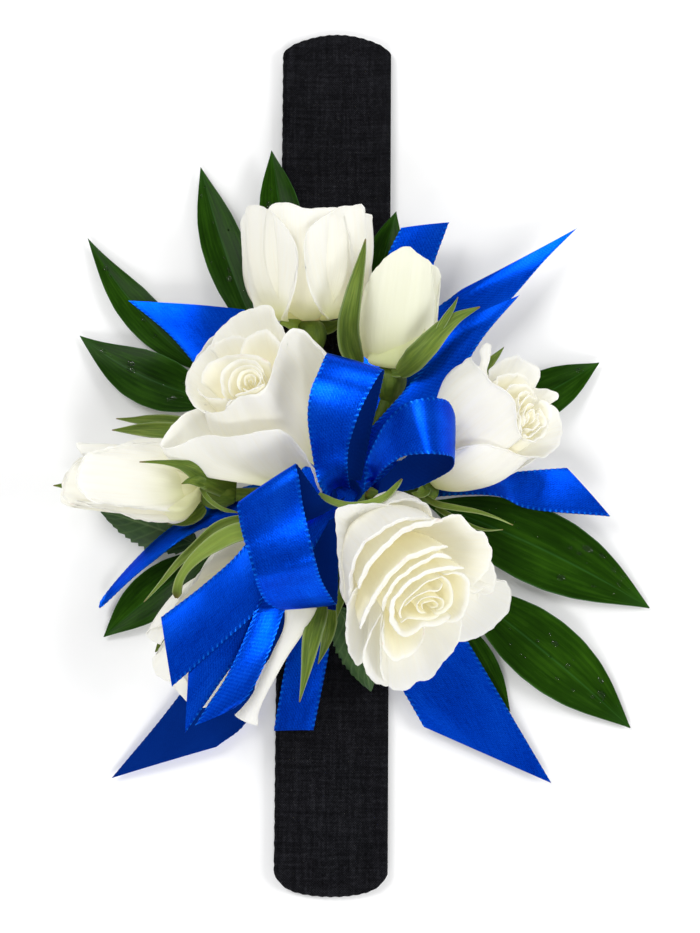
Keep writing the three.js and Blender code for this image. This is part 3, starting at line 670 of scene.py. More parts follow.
# --------------------------------------------------------------------------
# ribbons: each station is left x y z, right x y z along the travel
# --------------------------------------------------------------------------
def ribbon(name, stations, node, M, crown=0.35, cols=12, step=0.36, wave=0.0, seed=0, arch=None, shiny=1):
    S = np.asarray(stations, float)
    C = (S[:, :3] + S[:, 3:]) / 2
    k = np.concatenate([[0], np.cumsum(np.linalg.norm(np.diff(C, axis=0), axis=1) ** 0.5)])
    td = np.linspace(0, k[-1], 700)
    cd = spline(C, k, td)
    sd = np.concatenate([[0], np.cumsum(np.linalg.norm(np.diff(cd, axis=0), axis=1))])
    n = max(8, int(sd[-1] / step))
    t = np.interp(np.linspace(0, sd[-1], n), sd, td)
    Lp, Rp = spline(S[:, :3], k, t), spline(S[:, 3:], k, t)
    mid = (Lp + Rp) / 2
    along = np.gradient(mid, axis=0)
    along /= np.linalg.norm(along, axis=1, keepdims=True)
    acr = Rp - Lp
    w = np.linalg.norm(acr, axis=1)
    ac = acr / w[:, None]
    nor = np.cross(ac, along)
    nor /= np.linalg.norm(nor, axis=1, keepdims=True)
    sl = np.concatenate([[0], np.cumsum(np.linalg.norm(np.diff(Lp, axis=0), axis=1))])
    sr = np.concatenate([[0], np.cumsum(np.linalg.norm(np.diff(Rp, axis=0), axis=1))])
    vs = np.linspace(-1, 1, cols + 1)
    vs = np.sign(vs) * np.abs(vs) ** 0.85
    vs = np.concatenate([[-1.0], vs, [1.0]])
    rng = np.random.RandomState(seed)
    ph = rng.rand(4) * 6.28
    P = np.zeros((n, len(vs), 3))
    UV = np.zeros((n, len(vs), 2))
    UV2 = np.zeros((n, len(vs), 2))
    sm = np.linspace(0, sd[-1], n)
    for j, v in enumerate(vs):
        pic = 0.0
        if j in (0, len(vs) - 1):
            se = sl if j == 0 else sr
            pic = 0.15 * (0.5 + 0.5 * np.cos(2 * math.pi * se / PICOT)) + 0.02
        off = v * (w / 2) + np.sign(v) * pic
        cr = crown * (1 - v * v) * np.minimum(1, w / 8)
        if arch is not None:
            cr = cr + arch(sm / sd[-1], v)
        wv = wave * np.sin(sm * 0.23 + ph[0] + v * 0.8) * (0.4 + 0.6 * abs(v))
        P[:, j] = mid + ac * off[:, None] + nor * (cr + wv)[:, None]
        f = (v + 1) / 2
        UV[:, j, 0] = sl * (1 - f) + sr * f
        UV[:, j, 1] = v * w / 2
        UV2[:, j, 1] = (1 - abs(v)) * w / 2
    b = Build()
    # the dull face takes the darker dull colour and the satin's painted glow
    dull = UV2.copy()
    dull[..., 0] = 1.0
    b.grid(P, UV, 0.22, UV2 if shiny > 0 else dull, uv2_back=dull if shiny > 0 else UV2)
    ob = b.make(name, M["satin"])
    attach(ob, ROOT)
    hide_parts(node)
    flat_w = max(0.0101, float(np.percentile(w, 80)) * MM)
    length = float(max(sl[-1], sr[-1])) * MM
    area = float(np.sum((w[1:] + w[:-1]) / 2 * np.diff(sm))) * MM * MM
    area = min(area, flat_w * length)
    REPORT.append((name, round(flat_w * 1000, 1), round(length * 1000, 1)))
    return ob


REPORT = []


def seen(*rows):
    """Ribbon stations from picture points: both selvedges as x, y, height."""
    return [[*at(*r[:3]), *at(*r[3:])] for r in rows]


RIB = {
    "wide_cross": [[-24.1, 37.4, 8, -54.2, 39.9, 4.5], [-21.9, 28, 7, -42.8, 29.9, 7], [-8.9, 13.1, 7, -29.2, 13, 7], [7.8, 0.8, 6.4, -9.8, -10.8, 6.4], [14.1, -10.7, 6.3, -4.1, -21.3, 6.3], [29.6, -41.4, 5.8, 10.9, -50.6, 5.8], [35.3, -50.6, 5, 18.1, -62, 5], [56.1, -85.3, 2.6, 23.6, -71.3, 3.6]],
    "top_bottom": [[29.5, 59.6, 12.5, 17.2, 58.3, 11.5], [25.4, 47.9, 12.5, 13.5, 49.9, 12.5], [22.1, 36.1, 12.6, 10.7, 38.1, 9.4], [12.8, 5.5, 8.2, 1.2, 8.5, 8.2], [8, -11.7, 7.3, -4, -10.3, 7.3], [4.9, -26.3, 7.7, -6.9, -23.7, 7.7], [-0.6, -50, 11.9, -10.9, -50.7, 6.2], [-1.3, -55.1, 11.4, -12.1, -57.2, 6.6], [-4.7, -72.9, 11.5, -14.7, -72.7, 5.4]],
    "right_left": seen((576.5, 228.4, 8, 462.5, 289.2, 14), (545, 260, 9.2, 456.5, 293.6, 13.4), (513.5, 296, 10.6, 449, 299.5, 12.4), (480, 331, 10.6, 437, 309, 11.6)) + [[18.8, 4.4, 9.8, 9.2, 11.6, 9.8], [7.4, -12.1, 8.2, -1.4, -3.9, 8.2], [-7.2, -19.7, 8.4, -10.8, -8.3, 8.4], [-31.2, -20.6, 9.9, -24.4, -10.8, 8.9], [-47.5, -31.1, 10.5, -44.6, -22.6, 5.7]] + seen((104, 604.5, 4.4, 101, 601, 4.0), (99.6, 608, 4.2, 99.2, 607.4, 3.8)),
    "over_roses": [[46.7, 36, 29.4, 29.2, 28.3, 26.6], [38.3, 26.2, 28.8, 28.3, 26.8, 27.4], [28.6, 10.4, 28.2, 21.2, 15.6, 27.8], [14.2, -8.2, 27.4, 5.8, -1.9, 27.4], [6, -16.4, 27.2, -2, -9.6, 27.2], [-1.8, -26.1, 28, -10.2, -19.9, 28]]
    + seen((284, 611, 29, 257, 607, 32), (276, 633, 29.3, 245, 637, 32.4), (268, 655, 29.3, 234.5, 661, 32.4), (257, 680, 28.6, 223, 683, 32), (246, 698, 28, 209.5, 703, 31.5), (234.4, 707.5, 27.4, 195.6, 725, 31)),
    "right": [[11, -4, 9.05, 11, -16, 9.05], [21.9, -3, 9.3, 22.1, -13, 9.3], [38.7, -6.4, 6.0, 41.8, -12.8, 13.4], [48.3, -5.3, 6.1, 49.7, -15.7, 11.9], [60.5, -4.2, 6, 71.2, -17.2, 9]],
    "lower_left": [[2.8, -31, 5.1, -14.5, -19.5, 5.1], [-3.2, -40.8, 5, -20.8, -29.2, 5], [-18.6, -57.6, 4.2, -34.5, -56.6, 4.2]] + seen((247, 720, 3.2, 166, 713, 3.2), (216, 747, 4.0, 112, 778, 1.6)),
    "folded_a": [[-42.4, -46.7, 29.6, -39.5, -63.6, 28.4], [-32, -38.7, 30.8, -28.9, -54.4, 30.2], [-22.8, -29.9, 30.4, -18.2, -44.8, 31.2], [-12.7, -13.3, 29.4, -1.3, -24.7, 29.4], [-5.7, -7.3, 28.9, 5.7, -18.7, 28.9]],
    "folded_b": [[5.7, -16.4, 28.6, -5.7, -9.2, 28.6], [-1.3, -26.4, 28.9, -12.7, -17.6, 28.9]] + seen((270, 588, 29, 236, 575, 29), (247, 642, 29, 214, 620, 29.5), (216, 688, 28, 194, 652, 29), (185, 733, 26, 189, 664, 28.5)),
    "loop_up": seen((331, 500, 33, 350, 490, 34), (319.6, 485, 38, 347.4, 474, 40), (311.5, 447, 44, 348, 449, 46), (308, 416, 47.5, 353, 430, 49.5), (311, 391, 49, 361, 408, 51), (318.5, 372.5, 48.6, 371, 388, 51), (326.3, 355, 45, 381.5, 371, 48),
                    (329, 355.5, 40, 383.5, 373, 43), (332, 373, 35, 379, 394, 38), (339, 420, 32, 370.5, 432, 34), (345, 455, 31, 366, 455, 33), (346, 482, 31, 361, 480, 32.5)),
    "loop_right": seen((364, 489, 35, 371, 487, 36), (366.5, 463, 39, 381, 472, 43), (375, 443, 42, 392, 462.4, 47), (384.7, 424.5, 44.5, 403.8, 456, 50), (396, 411.5, 46, 415, 454, 52), (408, 403, 47, 425, 453.5, 53), (423, 399, 46.5, 436, 453.8, 52.5),
                       (437, 398.5, 44.5, 446, 455, 50), (448, 402, 41, 452.5, 457, 46), (454.5, 415, 37, 454, 464, 41), (454, 425, 33, 449, 471, 37), (446, 434, 31, 434, 479.5, 34), (425, 445, 30.5, 415, 488, 33), (400, 462, 30.5, 396, 491.5, 32.5), (380, 482, 31, 378, 493, 32.5)),
    "loop_left": seen((345, 497, 34, 340, 505, 33.5), (327, 503, 37, 300, 522, 35), (310, 483, 43, 268, 508, 39), (295.5, 464, 49, 239, 502, 43), (298.5, 478, 50.2, 239.5, 518, 44.6), (302, 503, 52.8, 243.5, 537, 47.6), (307.5, 531, 54.6, 248.5, 556, 49.0), (314.5, 558, 53.0, 254.5, 575, 47.4),
                      (321.5, 581, 46.2, 260.5, 592, 41.6), (330, 596, 41.4, 268.5, 603.5, 37.8), (336, 604, 37, 284, 609.5, 34.4), (337, 596, 35, 291, 603, 32.5), (337.5, 570, 33, 301, 580, 31.5), (338, 545, 32, 313, 552, 31), (340, 515, 31.5, 330, 520, 31)),
}


def make_ribbons(M):
    def curl(t, v):
        # the upper-left tail rolls down along its right side
        return -1.8 * np.maximum(0, 1 - t / 0.24) * np.maximum(0, -v + 0.1) ** 2

    def pinch(t, v):
        # gathered where the loop enters the knot
        return -3.0 * np.maximum(0, 1 - t / 0.16) ** 1.5 * (1 - v * v) + 0.0 * t

    ribbon("ribbon_wide_tails", RIB["wide_cross"], "ribbon_wide_cross", M, crown=0.5, cols=16, arch=curl, seed=1)
    ribbon("ribbon_top_bottom_tails", RIB["top_bottom"], "ribbon_top_bottom", M, seed=2)
    ribbon("ribbon_right_left_tails", RIB["right_left"], "ribbon_right_left", M, seed=3)
    ribbon("ribbon_upper_tails", RIB["over_roses"], "ribbon_over_roses", M, seed=4)
    ribbon("ribbon_right_tail", RIB["right"], "ribbon_right", M, seed=5)
    ribbon("ribbon_lower_left_tail", RIB["lower_left"], "ribbon_lower_left", M, crown=0.5, cols=16, seed=6, shiny=-1)
    ribbon("ribbon_folded_tail_over", RIB["folded_a"], "ribbon_folded_tails", M, seed=7)
    ribbon("ribbon_folded_tail_under", RIB["folded_b"], "ribbon_folded_tails", M, seed=8)
    ribbon("bow_loop_up_satin", RIB["loop_up"], "bow_loop_up", M, crown=0.2, cols=14, seed=9, arch=pinch)
    ribbon("bow_loop_right_satin", RIB["loop_right"], "bow_loop_right", M, crown=0.2, cols=14, seed=10, arch=pinch)
    def dent(t, v):
        return -0.55 * np.exp(-((t - 0.46) / 0.045) ** 2) + 0.0 * v

    ribbon("bow_loop_left_satin", RIB["loop_left"], "bow_loop_left", M, crown=0.2, cols=14, seed=11, arch=dent)


# --------------------------------------------------------------------------
# leaves
# --------------------------------------------------------------------------
RUSCUS = ([0, 0.04, 0.12, 0.22, 0.34, 0.46, 0.58, 0.70, 0.80, 0.88, 0.94, 0.98, 1.0],
          [0.07, 0.16, 0.44, 0.72, 0.92, 1.0, 0.97, 0.82, 0.59, 0.36, 0.18, 0.065, 0.012])
RUSCUS_LONG = (RUSCUS[0], [0.07, 0.16, 0.44, 0.74, 0.95, 1.0, 0.93, 0.71, 0.47, 0.275, 0.14, 0.05, 0.01])
ROSELEAF = ([0, 0.05, 0.15, 0.3, 0.45, 0.6, 0.75, 0.88, 0.96, 1.0],
            [0.08, 0.3, 0.72, 0.97, 1.0, 0.9, 0.68, 0.38, 0.14, 0.02])


def curve3(b, c, e, n):
    t = np.linspace(0, 1, n)[:, None]
    return (1 - t) ** 2 * b + 2 * t * (1 - t) * c + t * t * e


def blade_grid(base, tip, half, profile, bow=0.0, arch=0.0, fold=0.12, tilt=0.0, twist=0.0, rows=44, cols=15, teeth=0.0,
               ripple=0.0, seed=0, up=(0, 0, 1)):
    """A leaf or sepal surface from base to tip: bow sideways, arch along up, fold along the midrib, tilt about its own line."""
    b, e = np.asarray(base, float), np.asarray(tip, float)
    chord = e - b
    up = unit(np.asarray(up, float))
    side = unit(np.cross(chord, up))
    nrm = unit(np.cross(side, chord))
    c = (b + e) / 2 + side * (2 * bow) + nrm * (2 * arch)
    line = curve3(b, c, e, rows)
    tan = np.gradient(line, axis=0)
    tan /= np.linalg.norm(tan, axis=1, keepdims=True)
    t = np.linspace(0, 1, rows)
    w = half * np.interp(t, *profile)
    ker = np.array([0.25, 0.5, 0.25])
    w[1:-1] = np.convolve(w, ker, "same")[1:-1]
    rng = np.random.RandomState(seed)
    ph = rng.rand(6) * 6.28
    us = np.linspace(-1, 1, cols)
    P = np.zeros((rows, cols, 3))
    for i in range(rows):
        s0 = unit(np.cross(tan[i], nrm))
        n0 = unit(np.cross(s0, tan[i]))
        a = tilt + twist * (t[i] - 0.5)
        s1 = s0 * math.cos(a) + n0 * math.sin(a)
        n1 = -s0 * math.sin(a) + n0 * math.cos(a)
        for j, u in enumerate(us):
            ww = w[i]
            if teeth and abs(u) > 0.95:
                ww = ww * (1 + teeth * (((t[i] * 13) % 1.0) - 0.5))
            lift = fold * abs(u) * w[i] - 0.05 * w[i] * math.cos(u * math.pi) * fold
            lift += ripple * math.sin(t[i] * 9 + ph[0] + u * 1.3) * abs(u) ** 1.5 * math.sin(math.pi * t[i])
            P[i, j] = line[i] + s1 * (u * ww) + n1 * lift
    uv = np.stack(np.meshgrid(us, t), axis=2)
    return P, uv


def rod(b, points, radius, sides=10, uvq=(0.0, 0.0), n=14, taper=1.0):
    """A closed round stem along points."""
    pts = np.asarray(points, float)
    k = np.concatenate([[0], np.cumsum(np.linalg.norm(np.diff(pts, axis=0), axis=1) ** 0.5)])
    line = spline(pts, k, np.linspace(0, k[-1], n)) if len(pts) > 2 else np.linspace(pts[0], pts[1], n)
    tan = np.gradient(line, axis=0)
    tan /= np.linalg.norm(tan, axis=1, keepdims=True)
    ref = np.array([0.0, 0, 1]) if abs(tan[0][2]) < 0.9 else np.array([1.0, 0, 0])
    verts, uv = [], []
    a = np.linspace(0, 2 * math.pi, sides, endpoint=False)
    for i in range(n):
        s = unit(np.cross(tan[i], ref))
        u = unit(np.cross(s, tan[i]))
        r = radius * (1 + (taper - 1) * i / (n - 1))
        for x in a:
            verts.append(line[i] + r * (s * math.cos(x) + u * math.sin(x)))
            uv.append((math.cos(x) * 0.5, i / (n - 1)))
    faces = []
    for i in range(n - 1):
        for j in range(sides):
            j2 = (j + 1) % sides
            faces.append((i * sides + j, (i + 1) * sides + j, (i + 1) * sides + j2, i * sides + j2))
    verts += [line[0], line[-1]]
    uv += [(0, 0), (0, 1)]
    c0, c1 = n * sides, n * sides + 1
    for j in range(sides):
        j2 = (j + 1) % sides
        faces.append((c0, j, j2))
        faces.append((c1, (n - 1) * sides + j2, (n - 1) * sides + j))
    b.add(verts, faces, uv, [uvq] * len(verts))


HUB = np.array([2.0, -11.0, 0.0])
# name: node, base, tip, half width, bow, arch, fold, tilt, profile
LEAVES = {
    "leaf_top_left": ("ruscus_leaf_top_left", (-19.1, 28.2, 5), (-36.1, 77.2, 1.6), 5.8, -1.2, 1.2, 0.12, 0.10, RUSCUS),
    "leaf_top": ("ruscus_leaf_top", (-11.3, 40.3, 5.4), (-17.2, 80.9, 5.2), 5.7, 0.0, 0.6, 0.15, 0.0, RUSCUS),
    "leaf_left_upper": ("ruscus_leaf_left_upper", (-33.9, 20.8, 4.0), (-65.7, 57.5, 1.6), 5.2, -2.4, 0.3, 0.10, 0.0, RUSCUS_LONG),
    "leaf_left_lower": ("ruscus_leaf_left_lower", (-29.3, 12.9, 4.6), (-67.2, 31.1, 1.4), 7.2, -2.8, 1.0, 0.10, 0.05, RUSCUS_LONG),
    "leaf_lower_left": ("ruscus_leaf_lower_left", (-30.6, -26.6, 4.4), (-59.1, -48.5, 1.4), 6.2, 0.8, 0.8, 0.12, 0.0, RUSCUS),
    "leaf_right": ("ruscus_leaf_right", (35.3, 5.1, 6.2), (69.5, 24.7, 1.8), 6.4, 0.6, 0.8, 0.12, 0.0, RUSCUS),
    "leaf_lower_right": ("ruscus_leaf_lower_right", (24.4, -13.4, 5.6), (81.9, -40, 1.4), 9.9, -1.6, 1.2, 0.10, 0.0, RUSCUS),
    "leaf_sprig": ("ruscus_sprig_lower_right", (33.3, -35.5, 4.2), (76.6, -71, 1.4), 9.0, -0.8, 0.9, 0.10, 0.0, RUSCUS),
    "leaf_sprig_small": ("ruscus_sprig_lower_right", (31.6, -42.5, 2.8), (45.8, -67.1, 1.4), 3.9, 0.3, 0.4, 0.14, 0.0, RUSCUS),
    "leaf_top_right": ("ruscus_leaf_top_right", (9.7, 36.4, 5.2), (15.9, 64.1, 6.4), 4.7, -0.3, 0.5, 0.18, 0.0, RUSCUS),
    "leaf_rose_front": ("rose_leaf_front", (1.4, -41.7, 12.6), (9.9, -62.8, 9.5), 5.4, -0.8, 0.8, 0.20, 0.0, ROSELEAF),
    "leaf_rose_left": ("rose_leaf_left", (-35, -24.9, 4.4), (-60.6, -15.8, 1.6), 6.0, 0.6, 0.8, 0.16, 0.0, ROSELEAF),
}
LEAF_GRIDS = {}


def make_leaves(M):
    for i, (name, (node, base, tip, half, bow, arch, fold, tilt, prof)) in enumerate(LEAVES.items()):
        rose = prof is ROSELEAF
        P, uv = blade_grid(base, tip, half, prof, bow, arch, fold, tilt, rows=60 if rose else 46, cols=17, teeth=0.16 if rose else 0.0,
                           ripple=0.35, seed=i)
        LEAF_GRIDS[name] = P
        b = Build()
        b.grid(P, uv, 0.32, np.full(uv.shape, (i * 0.137) % 1.0))
        d = np.array([base[0] - HUB[0], base[1] - HUB[1], 0.0])
        d /= np.linalg.norm(d)
        root = HUB + d * 11.0
        root[2] = base[2] if base[2] > 10 else 5.0
        inward = P[2, 8] - np.array([0, 0, 0.15])
        rod(b, [inward, np.array(base) * 0.75 + root * 0.25, root], 0.62, 8, ((i * 0.137) % 1.0, 0.0), taper=1.15)
        ob = b.make(name, M["rose_leaf"] if rose else M["ruscus"])
        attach(ob, ROOT)
        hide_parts(node)


def make_drops(M):
    """Water left by the misting: flat beads on the leaves."""
    spots = {"leaf_top_left": 9, "leaf_top": 8, "leaf_left_upper": 5, "leaf_left_lower": 9, "leaf_lower_right": 22, "leaf_sprig": 18, "leaf_right": 5}
    rng = np.random.RandomState(7)
    for name, count in spots.items():
        P = LEAF_GRIDS[name]
        n, m = P.shape[:2]
        b = Build()
        for _ in range(count):
            i = rng.uniform(0.25, 0.93) * (n - 2)
            j = rng.uniform(0.12, 0.88) * (m - 2)
            i0, j0 = int(i), int(j)
            p = P[i0, j0]
            du, dv = P[i0 + 1, j0] - p, P[i0, j0 + 1] - p
            nn = unit(np.cross(dv, du))
            if nn[2] < 0:
                nn = -nn
            r = 0.22 + 0.75 * rng.rand() ** 2.6
            s = unit(du)
            q = unit(np.cross(nn, s))
            st = 1 + 0.7 * rng.rand()
            verts, uv, faces = [], [], []
            rings, sides = 5, 12
            for a in range(rings):
                th = math.pi / 2 * a / (rings - 0.0)
                for c in range(sides):
                    f = 2 * math.pi * c / sides
                    wob = 1 + 0.12 * math.sin(f * 2 + a)
                    verts.append(p + nn * (0.16 + 0.42 * r * math.sin(th)) + (s * math.cos(f) * st + q * math.sin(f)) * r * wob * math.cos(th))
                    uv.append((0, 0))
            verts.append(p + nn * (0.16 + 0.42 * r))
            verts.append(p + nn * 0.12)
            uv += [(0, 0), (0, 0)]
            for a in range(rings - 1):
                for c in range(sides):
                    c2 = (c + 1) % sides
                    faces.append((a * sides + c, a * sides + c2, (a + 1) * sides + c2, (a + 1) * sides + c))
            top, bot = rings * sides, rings * sides + 1
            for c in range(sides):
                c2 = (c + 1) % sides
                faces.append(((rings - 1) * sides + c, (rings - 1) * sides + c2, top))
                faces.append((c2, c, bot))
            b.add(verts, faces, uv)
        ob = b.make("drops_" + name, M["water"])
        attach(ob, ROOT)


# --------------------------------------------------------------------------
# roses
# --------------------------------------------------------------------------
def bezier(p0, p1, p2, p3, n):
    t = np.linspace(0, 1, n)[:, None]
    return (1 - t) ** 3 * p0 + 3 * (1 - t) ** 2 * t * p1 + 3 * (1 - t) * t * t * p2 + t ** 3 * p3


def petal_grid(phi, r0, r_mid, r_rim, z0, z_rim, width, curl=0.6, curl_len=3.0, flat=1.0, spiral=0.0, droop=0.25, corner=0.5,
               side_curl=0.0, point=0.0, wav=0.3, seed=0, rows=20, cols=19, lean=0.0):
    """One petal in the bloom's own frame (axis +Z). A column runs from the claw up a cup-shaped line and rolls outward at the rim."""
    rng = np.random.RandomState(seed)
    ph = rng.rand(8) * 6.28
    us = np.linspace(-1, 1, cols)
    P = np.zeros((rows, cols, 3))
    UV = np.zeros((rows, cols, 2))
    H = z_rim - z0
    core = bezier(np.array([r0, z0]), np.array([r_mid * 0.9 + r0 * 0.1, z0 + 0.05 * H]), np.array([r_mid, z0 + 0.62 * H]), np.array([r_rim, z_rim]), 60)
    for j, u in enumerate(us):
        au = abs(u)
        end = 1.0 - droop * au ** 2.6 + point * max(0, 1 - au * 2.2)
        # rim: roll outward over the last stretch, more at the corners
        d = core[-1] - core[-3]
        d = d / np.linalg.norm(d)
        ang0 = math.atan2(d[0], d[1])
        cl = curl_len * (1 + 0.25 * corner * au)
        ca = curl * (1 + corner * (au - 0.4))
        m = 14
        pts = [core[-1]]
        for i in range(1, m + 1):
            a = ang0 + ca * (i / m) ** 1.2
            pts.append(pts[-1] + np.array([math.sin(a), math.cos(a)]) * cl / m)
        prof = np.concatenate([core, np.array(pts[1:])])
        ln = np.concatenate([[0], np.cumsum(np.linalg.norm(np.diff(prof, axis=0), axis=1))])
        # rows are spaced so that the rim is fine
        q = np.linspace(0, 1, rows) ** 0.85
        tt = q * end
        r = np.interp(tt * ln[-1], ln, prof[:, 0])
        z = np.interp(tt * ln[-1], ln, prof[:, 1])
        if end > 1:
            over = np.maximum(0, tt - 1) * ln[-1]
            dd = prof[-1] - prof[-2]
            dd = dd / np.linalg.norm(dd)
            r = r + over * dd[0]
            z = z + over * dd[1]
        shp = np.interp(tt, [0, 0.12, 0.3, 0.5, 0.7, 0.88, 1.0, 1.3], [0.30, 0.46, 0.74, 0.93, 1.0, 0.97, 0.90, 0.8])
        w = width * shp
        R = np.maximum(r * flat, 1.2)
        a = np.clip(w * u / R, -2.9, 2.9)
        x = r + R * (np.cos(a) - 1) + spiral * u * np.minimum(1, tt * 2) + side_curl * au ** 3 * tt ** 2
        y = R * np.sin(a)
        ww = wav * tt ** 4
        x = x + ww * np.sin(3.1 * u + ph[0]) + 0.5 * ww * np.sin(6.3 * u + ph[1])
        z = z + 0.6 * ww * np.sin(4.4 * u + ph[2]) + 0.35 * ww * np.sin(9.0 * u + ph[3])
        x = x + lean * tt * tt
        c, s = math.cos(phi), math.sin(phi)
        P[:, j, 0] = x * c - y * s
        P[:, j, 1] = x * s + y * c
        P[:, j, 2] = z
        UV[:, j, 0] = u
        UV[:, j, 1] = q
    return P, UV


def frame_of(base, top, spin=0.0):
    b = np.asarray(base, float)
    ax = np.asarray(top, float) - b
    H = np.linalg.norm(ax)
    ax = ax / H
    # local x points down the slope, as seen from above
    down = np.array([ax[0], ax[1], 0.0])
    ex = down - ax * (down @ ax)
    if np.linalg.norm(ex) < 1e-3:
        ex = np.array([1.0, 0, 0])
    # for a bloom that looks sideways local x is the lower side
    ex = unit(ex) if ax[2] > 0.2 else unit(np.array([0, 0, -1.0]) + ax * ax[2])
    ey = np.cross(ax, ex)
    c, s = math.cos(spin), math.sin(spin)
    return b, np.stack([ex * c + ey * s, -ex * s + ey * c, ax], axis=1), H


GOLD = math.radians(137.508)


def lerp(a, b, t):
    return a + (b - a) * t


ROSES = {
    "rose_top": ((-6.4, 31.6, 17), (-7.6, 58.7, 23)),
    "rose_bud_top": ((14.8, 19, 20), (18.5, 47.8, 31)),
    "rose_upper_left": ((-7.3, -9.2, 17), (-23.1, 11.8, 44)),
    "rose_right": ((25.1, -10, 17), (50.4, 7.2, 32)),
    "rose_bud_left": ((-33.4, -12.5, 14), (-68.4, -9.8, 15)),
    "rose_lower_left": ((-12.1, -31.7, 16), (-31.7, -63.7, 18)),
    "rose_front": ((9.4, -23.4, 15), (24.3, -44.1, 44)),
}


def patch(base, axis, rim, n_u=0, n_t=17, claw=2.3, cup=0.85, belly=0.28, flare=0.0, roll=(1.3, 1.1), wav=0.18, seed=0, low=0.12, crk=0.24, und=0.20, tint=1.0, own=0.0, up=0.0):
    """A petal given by its rim: columns rise from the claw, belly out and end on the rim, then roll outward a little."""
    rng = np.random.RandomState(seed)
    ph = rng.rand(12) * 6.28
    ax = unit(axis)
    b0 = np.asarray(base, float) + ax * up
    R0 = np.asarray(rim, float)
    k = np.concatenate([[0], np.cumsum(np.linalg.norm(np.diff(R0, axis=0), axis=1) ** 0.5)])
    td = np.linspace(0, k[-1], 500)
    cd = spline(R0, k, td)
    sd = np.concatenate([[0], np.cumsum(np.linalg.norm(np.diff(cd, axis=0), axis=1))])
    n_u = n_u or int(np.clip(sd[-1] / 0.85, 21, 61))
    ss = np.linspace(0, sd[-1], n_u)
    R = spline(R0, k, np.interp(ss, sd, td))
    nr = 5
    us = np.linspace(-1, 1, n_u)
    P = np.zeros((n_t + nr, n_u, 3))
    UV = np.zeros((n_t + nr, n_u, 2))
    tt = np.linspace(0, 1, n_t)[:, None]
    E = R - b0
    E = E - (E @ ax)[:, None] * ax
    rr = np.linalg.norm(E, axis=1)
    E = E / np.maximum(rr, 0.3)[:, None]
    ker = np.ones(5) / 5
    pad = np.concatenate([E[:1]] * 2 + [E] + [E[-1:]] * 2)
    E = np.stack([np.convolve(pad[:, c], ker, "valid") for c in range(3)], axis=1)
    E /= np.maximum(np.linalg.norm(E, axis=1), 1e-6)[:, None]
    lead = unit(E.mean(axis=0))
    c1 = crk * (0.50 * np.sin(ss * 1.19 + ph[2]) + 0.34 * np.sin(ss * 2.07 + ph[3]) + 0.30 * np.sin(ss * 0.61 + ph[4]))
    c2 = crk * (0.50 * np.sin(ss * 0.97 + ph[5]) + 0.34 * np.sin(ss * 2.31 + ph[6]) + 0.30 * np.sin(ss * 0.53 + ph[7]))
    grow = smooth(tt, 0.45, 1.0) ** 1.4
    for j in range(n_u):
        e, r = E[j], rr[j]
        r_end = R[j] + (e * math.sin(us[j] * 5.3 + ph[0]) + ax * math.sin(us[j] * 8.1 + ph[1])) * wav * 0.6
        B = b0 + unit(e + (lead - e) * own) * claw + ax * 0.4
        h = float((r_end - B) @ ax)
        p1 = B + e * (r * cup) + ax * (h * low)
        p2 = r_end - ax * (h * (0.5 - 0.4 * flare)) + e * (r * (belly - 0.6 * flare))
        col = (1 - tt) ** 3 * B + 3 * (1 - tt) ** 2 * tt * p1 + 3 * (1 - tt) * tt ** 2 * p2 + tt ** 3 * r_end
        T = unit(r_end - p2)
        out = unit(e - T * (e @ T))
        q = [r_end]
        for i in range(nr):
            a = roll[1] * ((i + 1) / nr)
            q.append(q[-1] + (T * math.cos(a) + out * math.sin(a)) * (roll[0] * (1 - 0.8 * abs(us[j]) ** 7) / nr))
        d = e * c1[j] + ax * (0.7 * c2[j])
        ripple = und * np.sin(np.pi * tt) * np.sin(6.28 * (1.25 * tt + 0.55 * us[j]) + ph[8] + 0.8 * math.sin(3.1 * us[j] + ph[9]))
        P[:n_t, j] = col + d * grow + e * ripple
        P[n_t:, j] = np.array(q[1:]) + d
        UV[:, j, 0] = us[j]
        UV[:, j, 1] = np.concatenate([np.linspace(0, 0.93, n_t), np.linspace(0.945, 1.0, nr)]) * tint
    return P, UV


def whorl(base, top, r_max, n, start=0.0, lean=0.0, r_min=0.7, low=0.35, h0=0.97, h1=0.93):
    """The tight heart of a rose: small petals wound round the axis."""
    b0, A, H = frame_of(base, top)
    out = []
    for i in range(n):
        s = i / max(1, n - 1)
        rr = lerp(r_min, r_max, s)
        P, UV = petal_grid(phi=start + i * GOLD, r0=lerp(0.4, 1.6, s), r_mid=rr * 1.12, r_rim=rr * lerp(0.6, 1.0, s), z0=H * lerp(low, 0.1, s), z_rim=H * lerp(h0, h1, s),
                           width=lerp(3.2, r_max * 1.25, s), curl=lerp(0.3, 0.7, s), curl_len=lerp(0.6, 1.2, s), flat=1.04, spiral=lerp(0.5, 1.0, s), droop=0.13, wav=lerp(0.08, 0.25, s), seed=77 + i)
        out.append((P @ A.T + b0, UV, 0.18 * s))
    return out


def bloom(name, node, grids, M, thick=0.26):
    b = Build()
    for i, (P, UV, q) in enumerate(grids):
        rnd = (i * 0.61803) % 1.0
        b.grid(P, UV, thick, np.stack([np.full(UV.shape[:2], q), np.full(UV.shape[:2], rnd)], axis=2))
    ob = b.make(name, M["bud_petal" if name == "petals_bud_top" else "petal"], sharp=False)
    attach(ob, ROOT)
    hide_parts(node)
    return ob


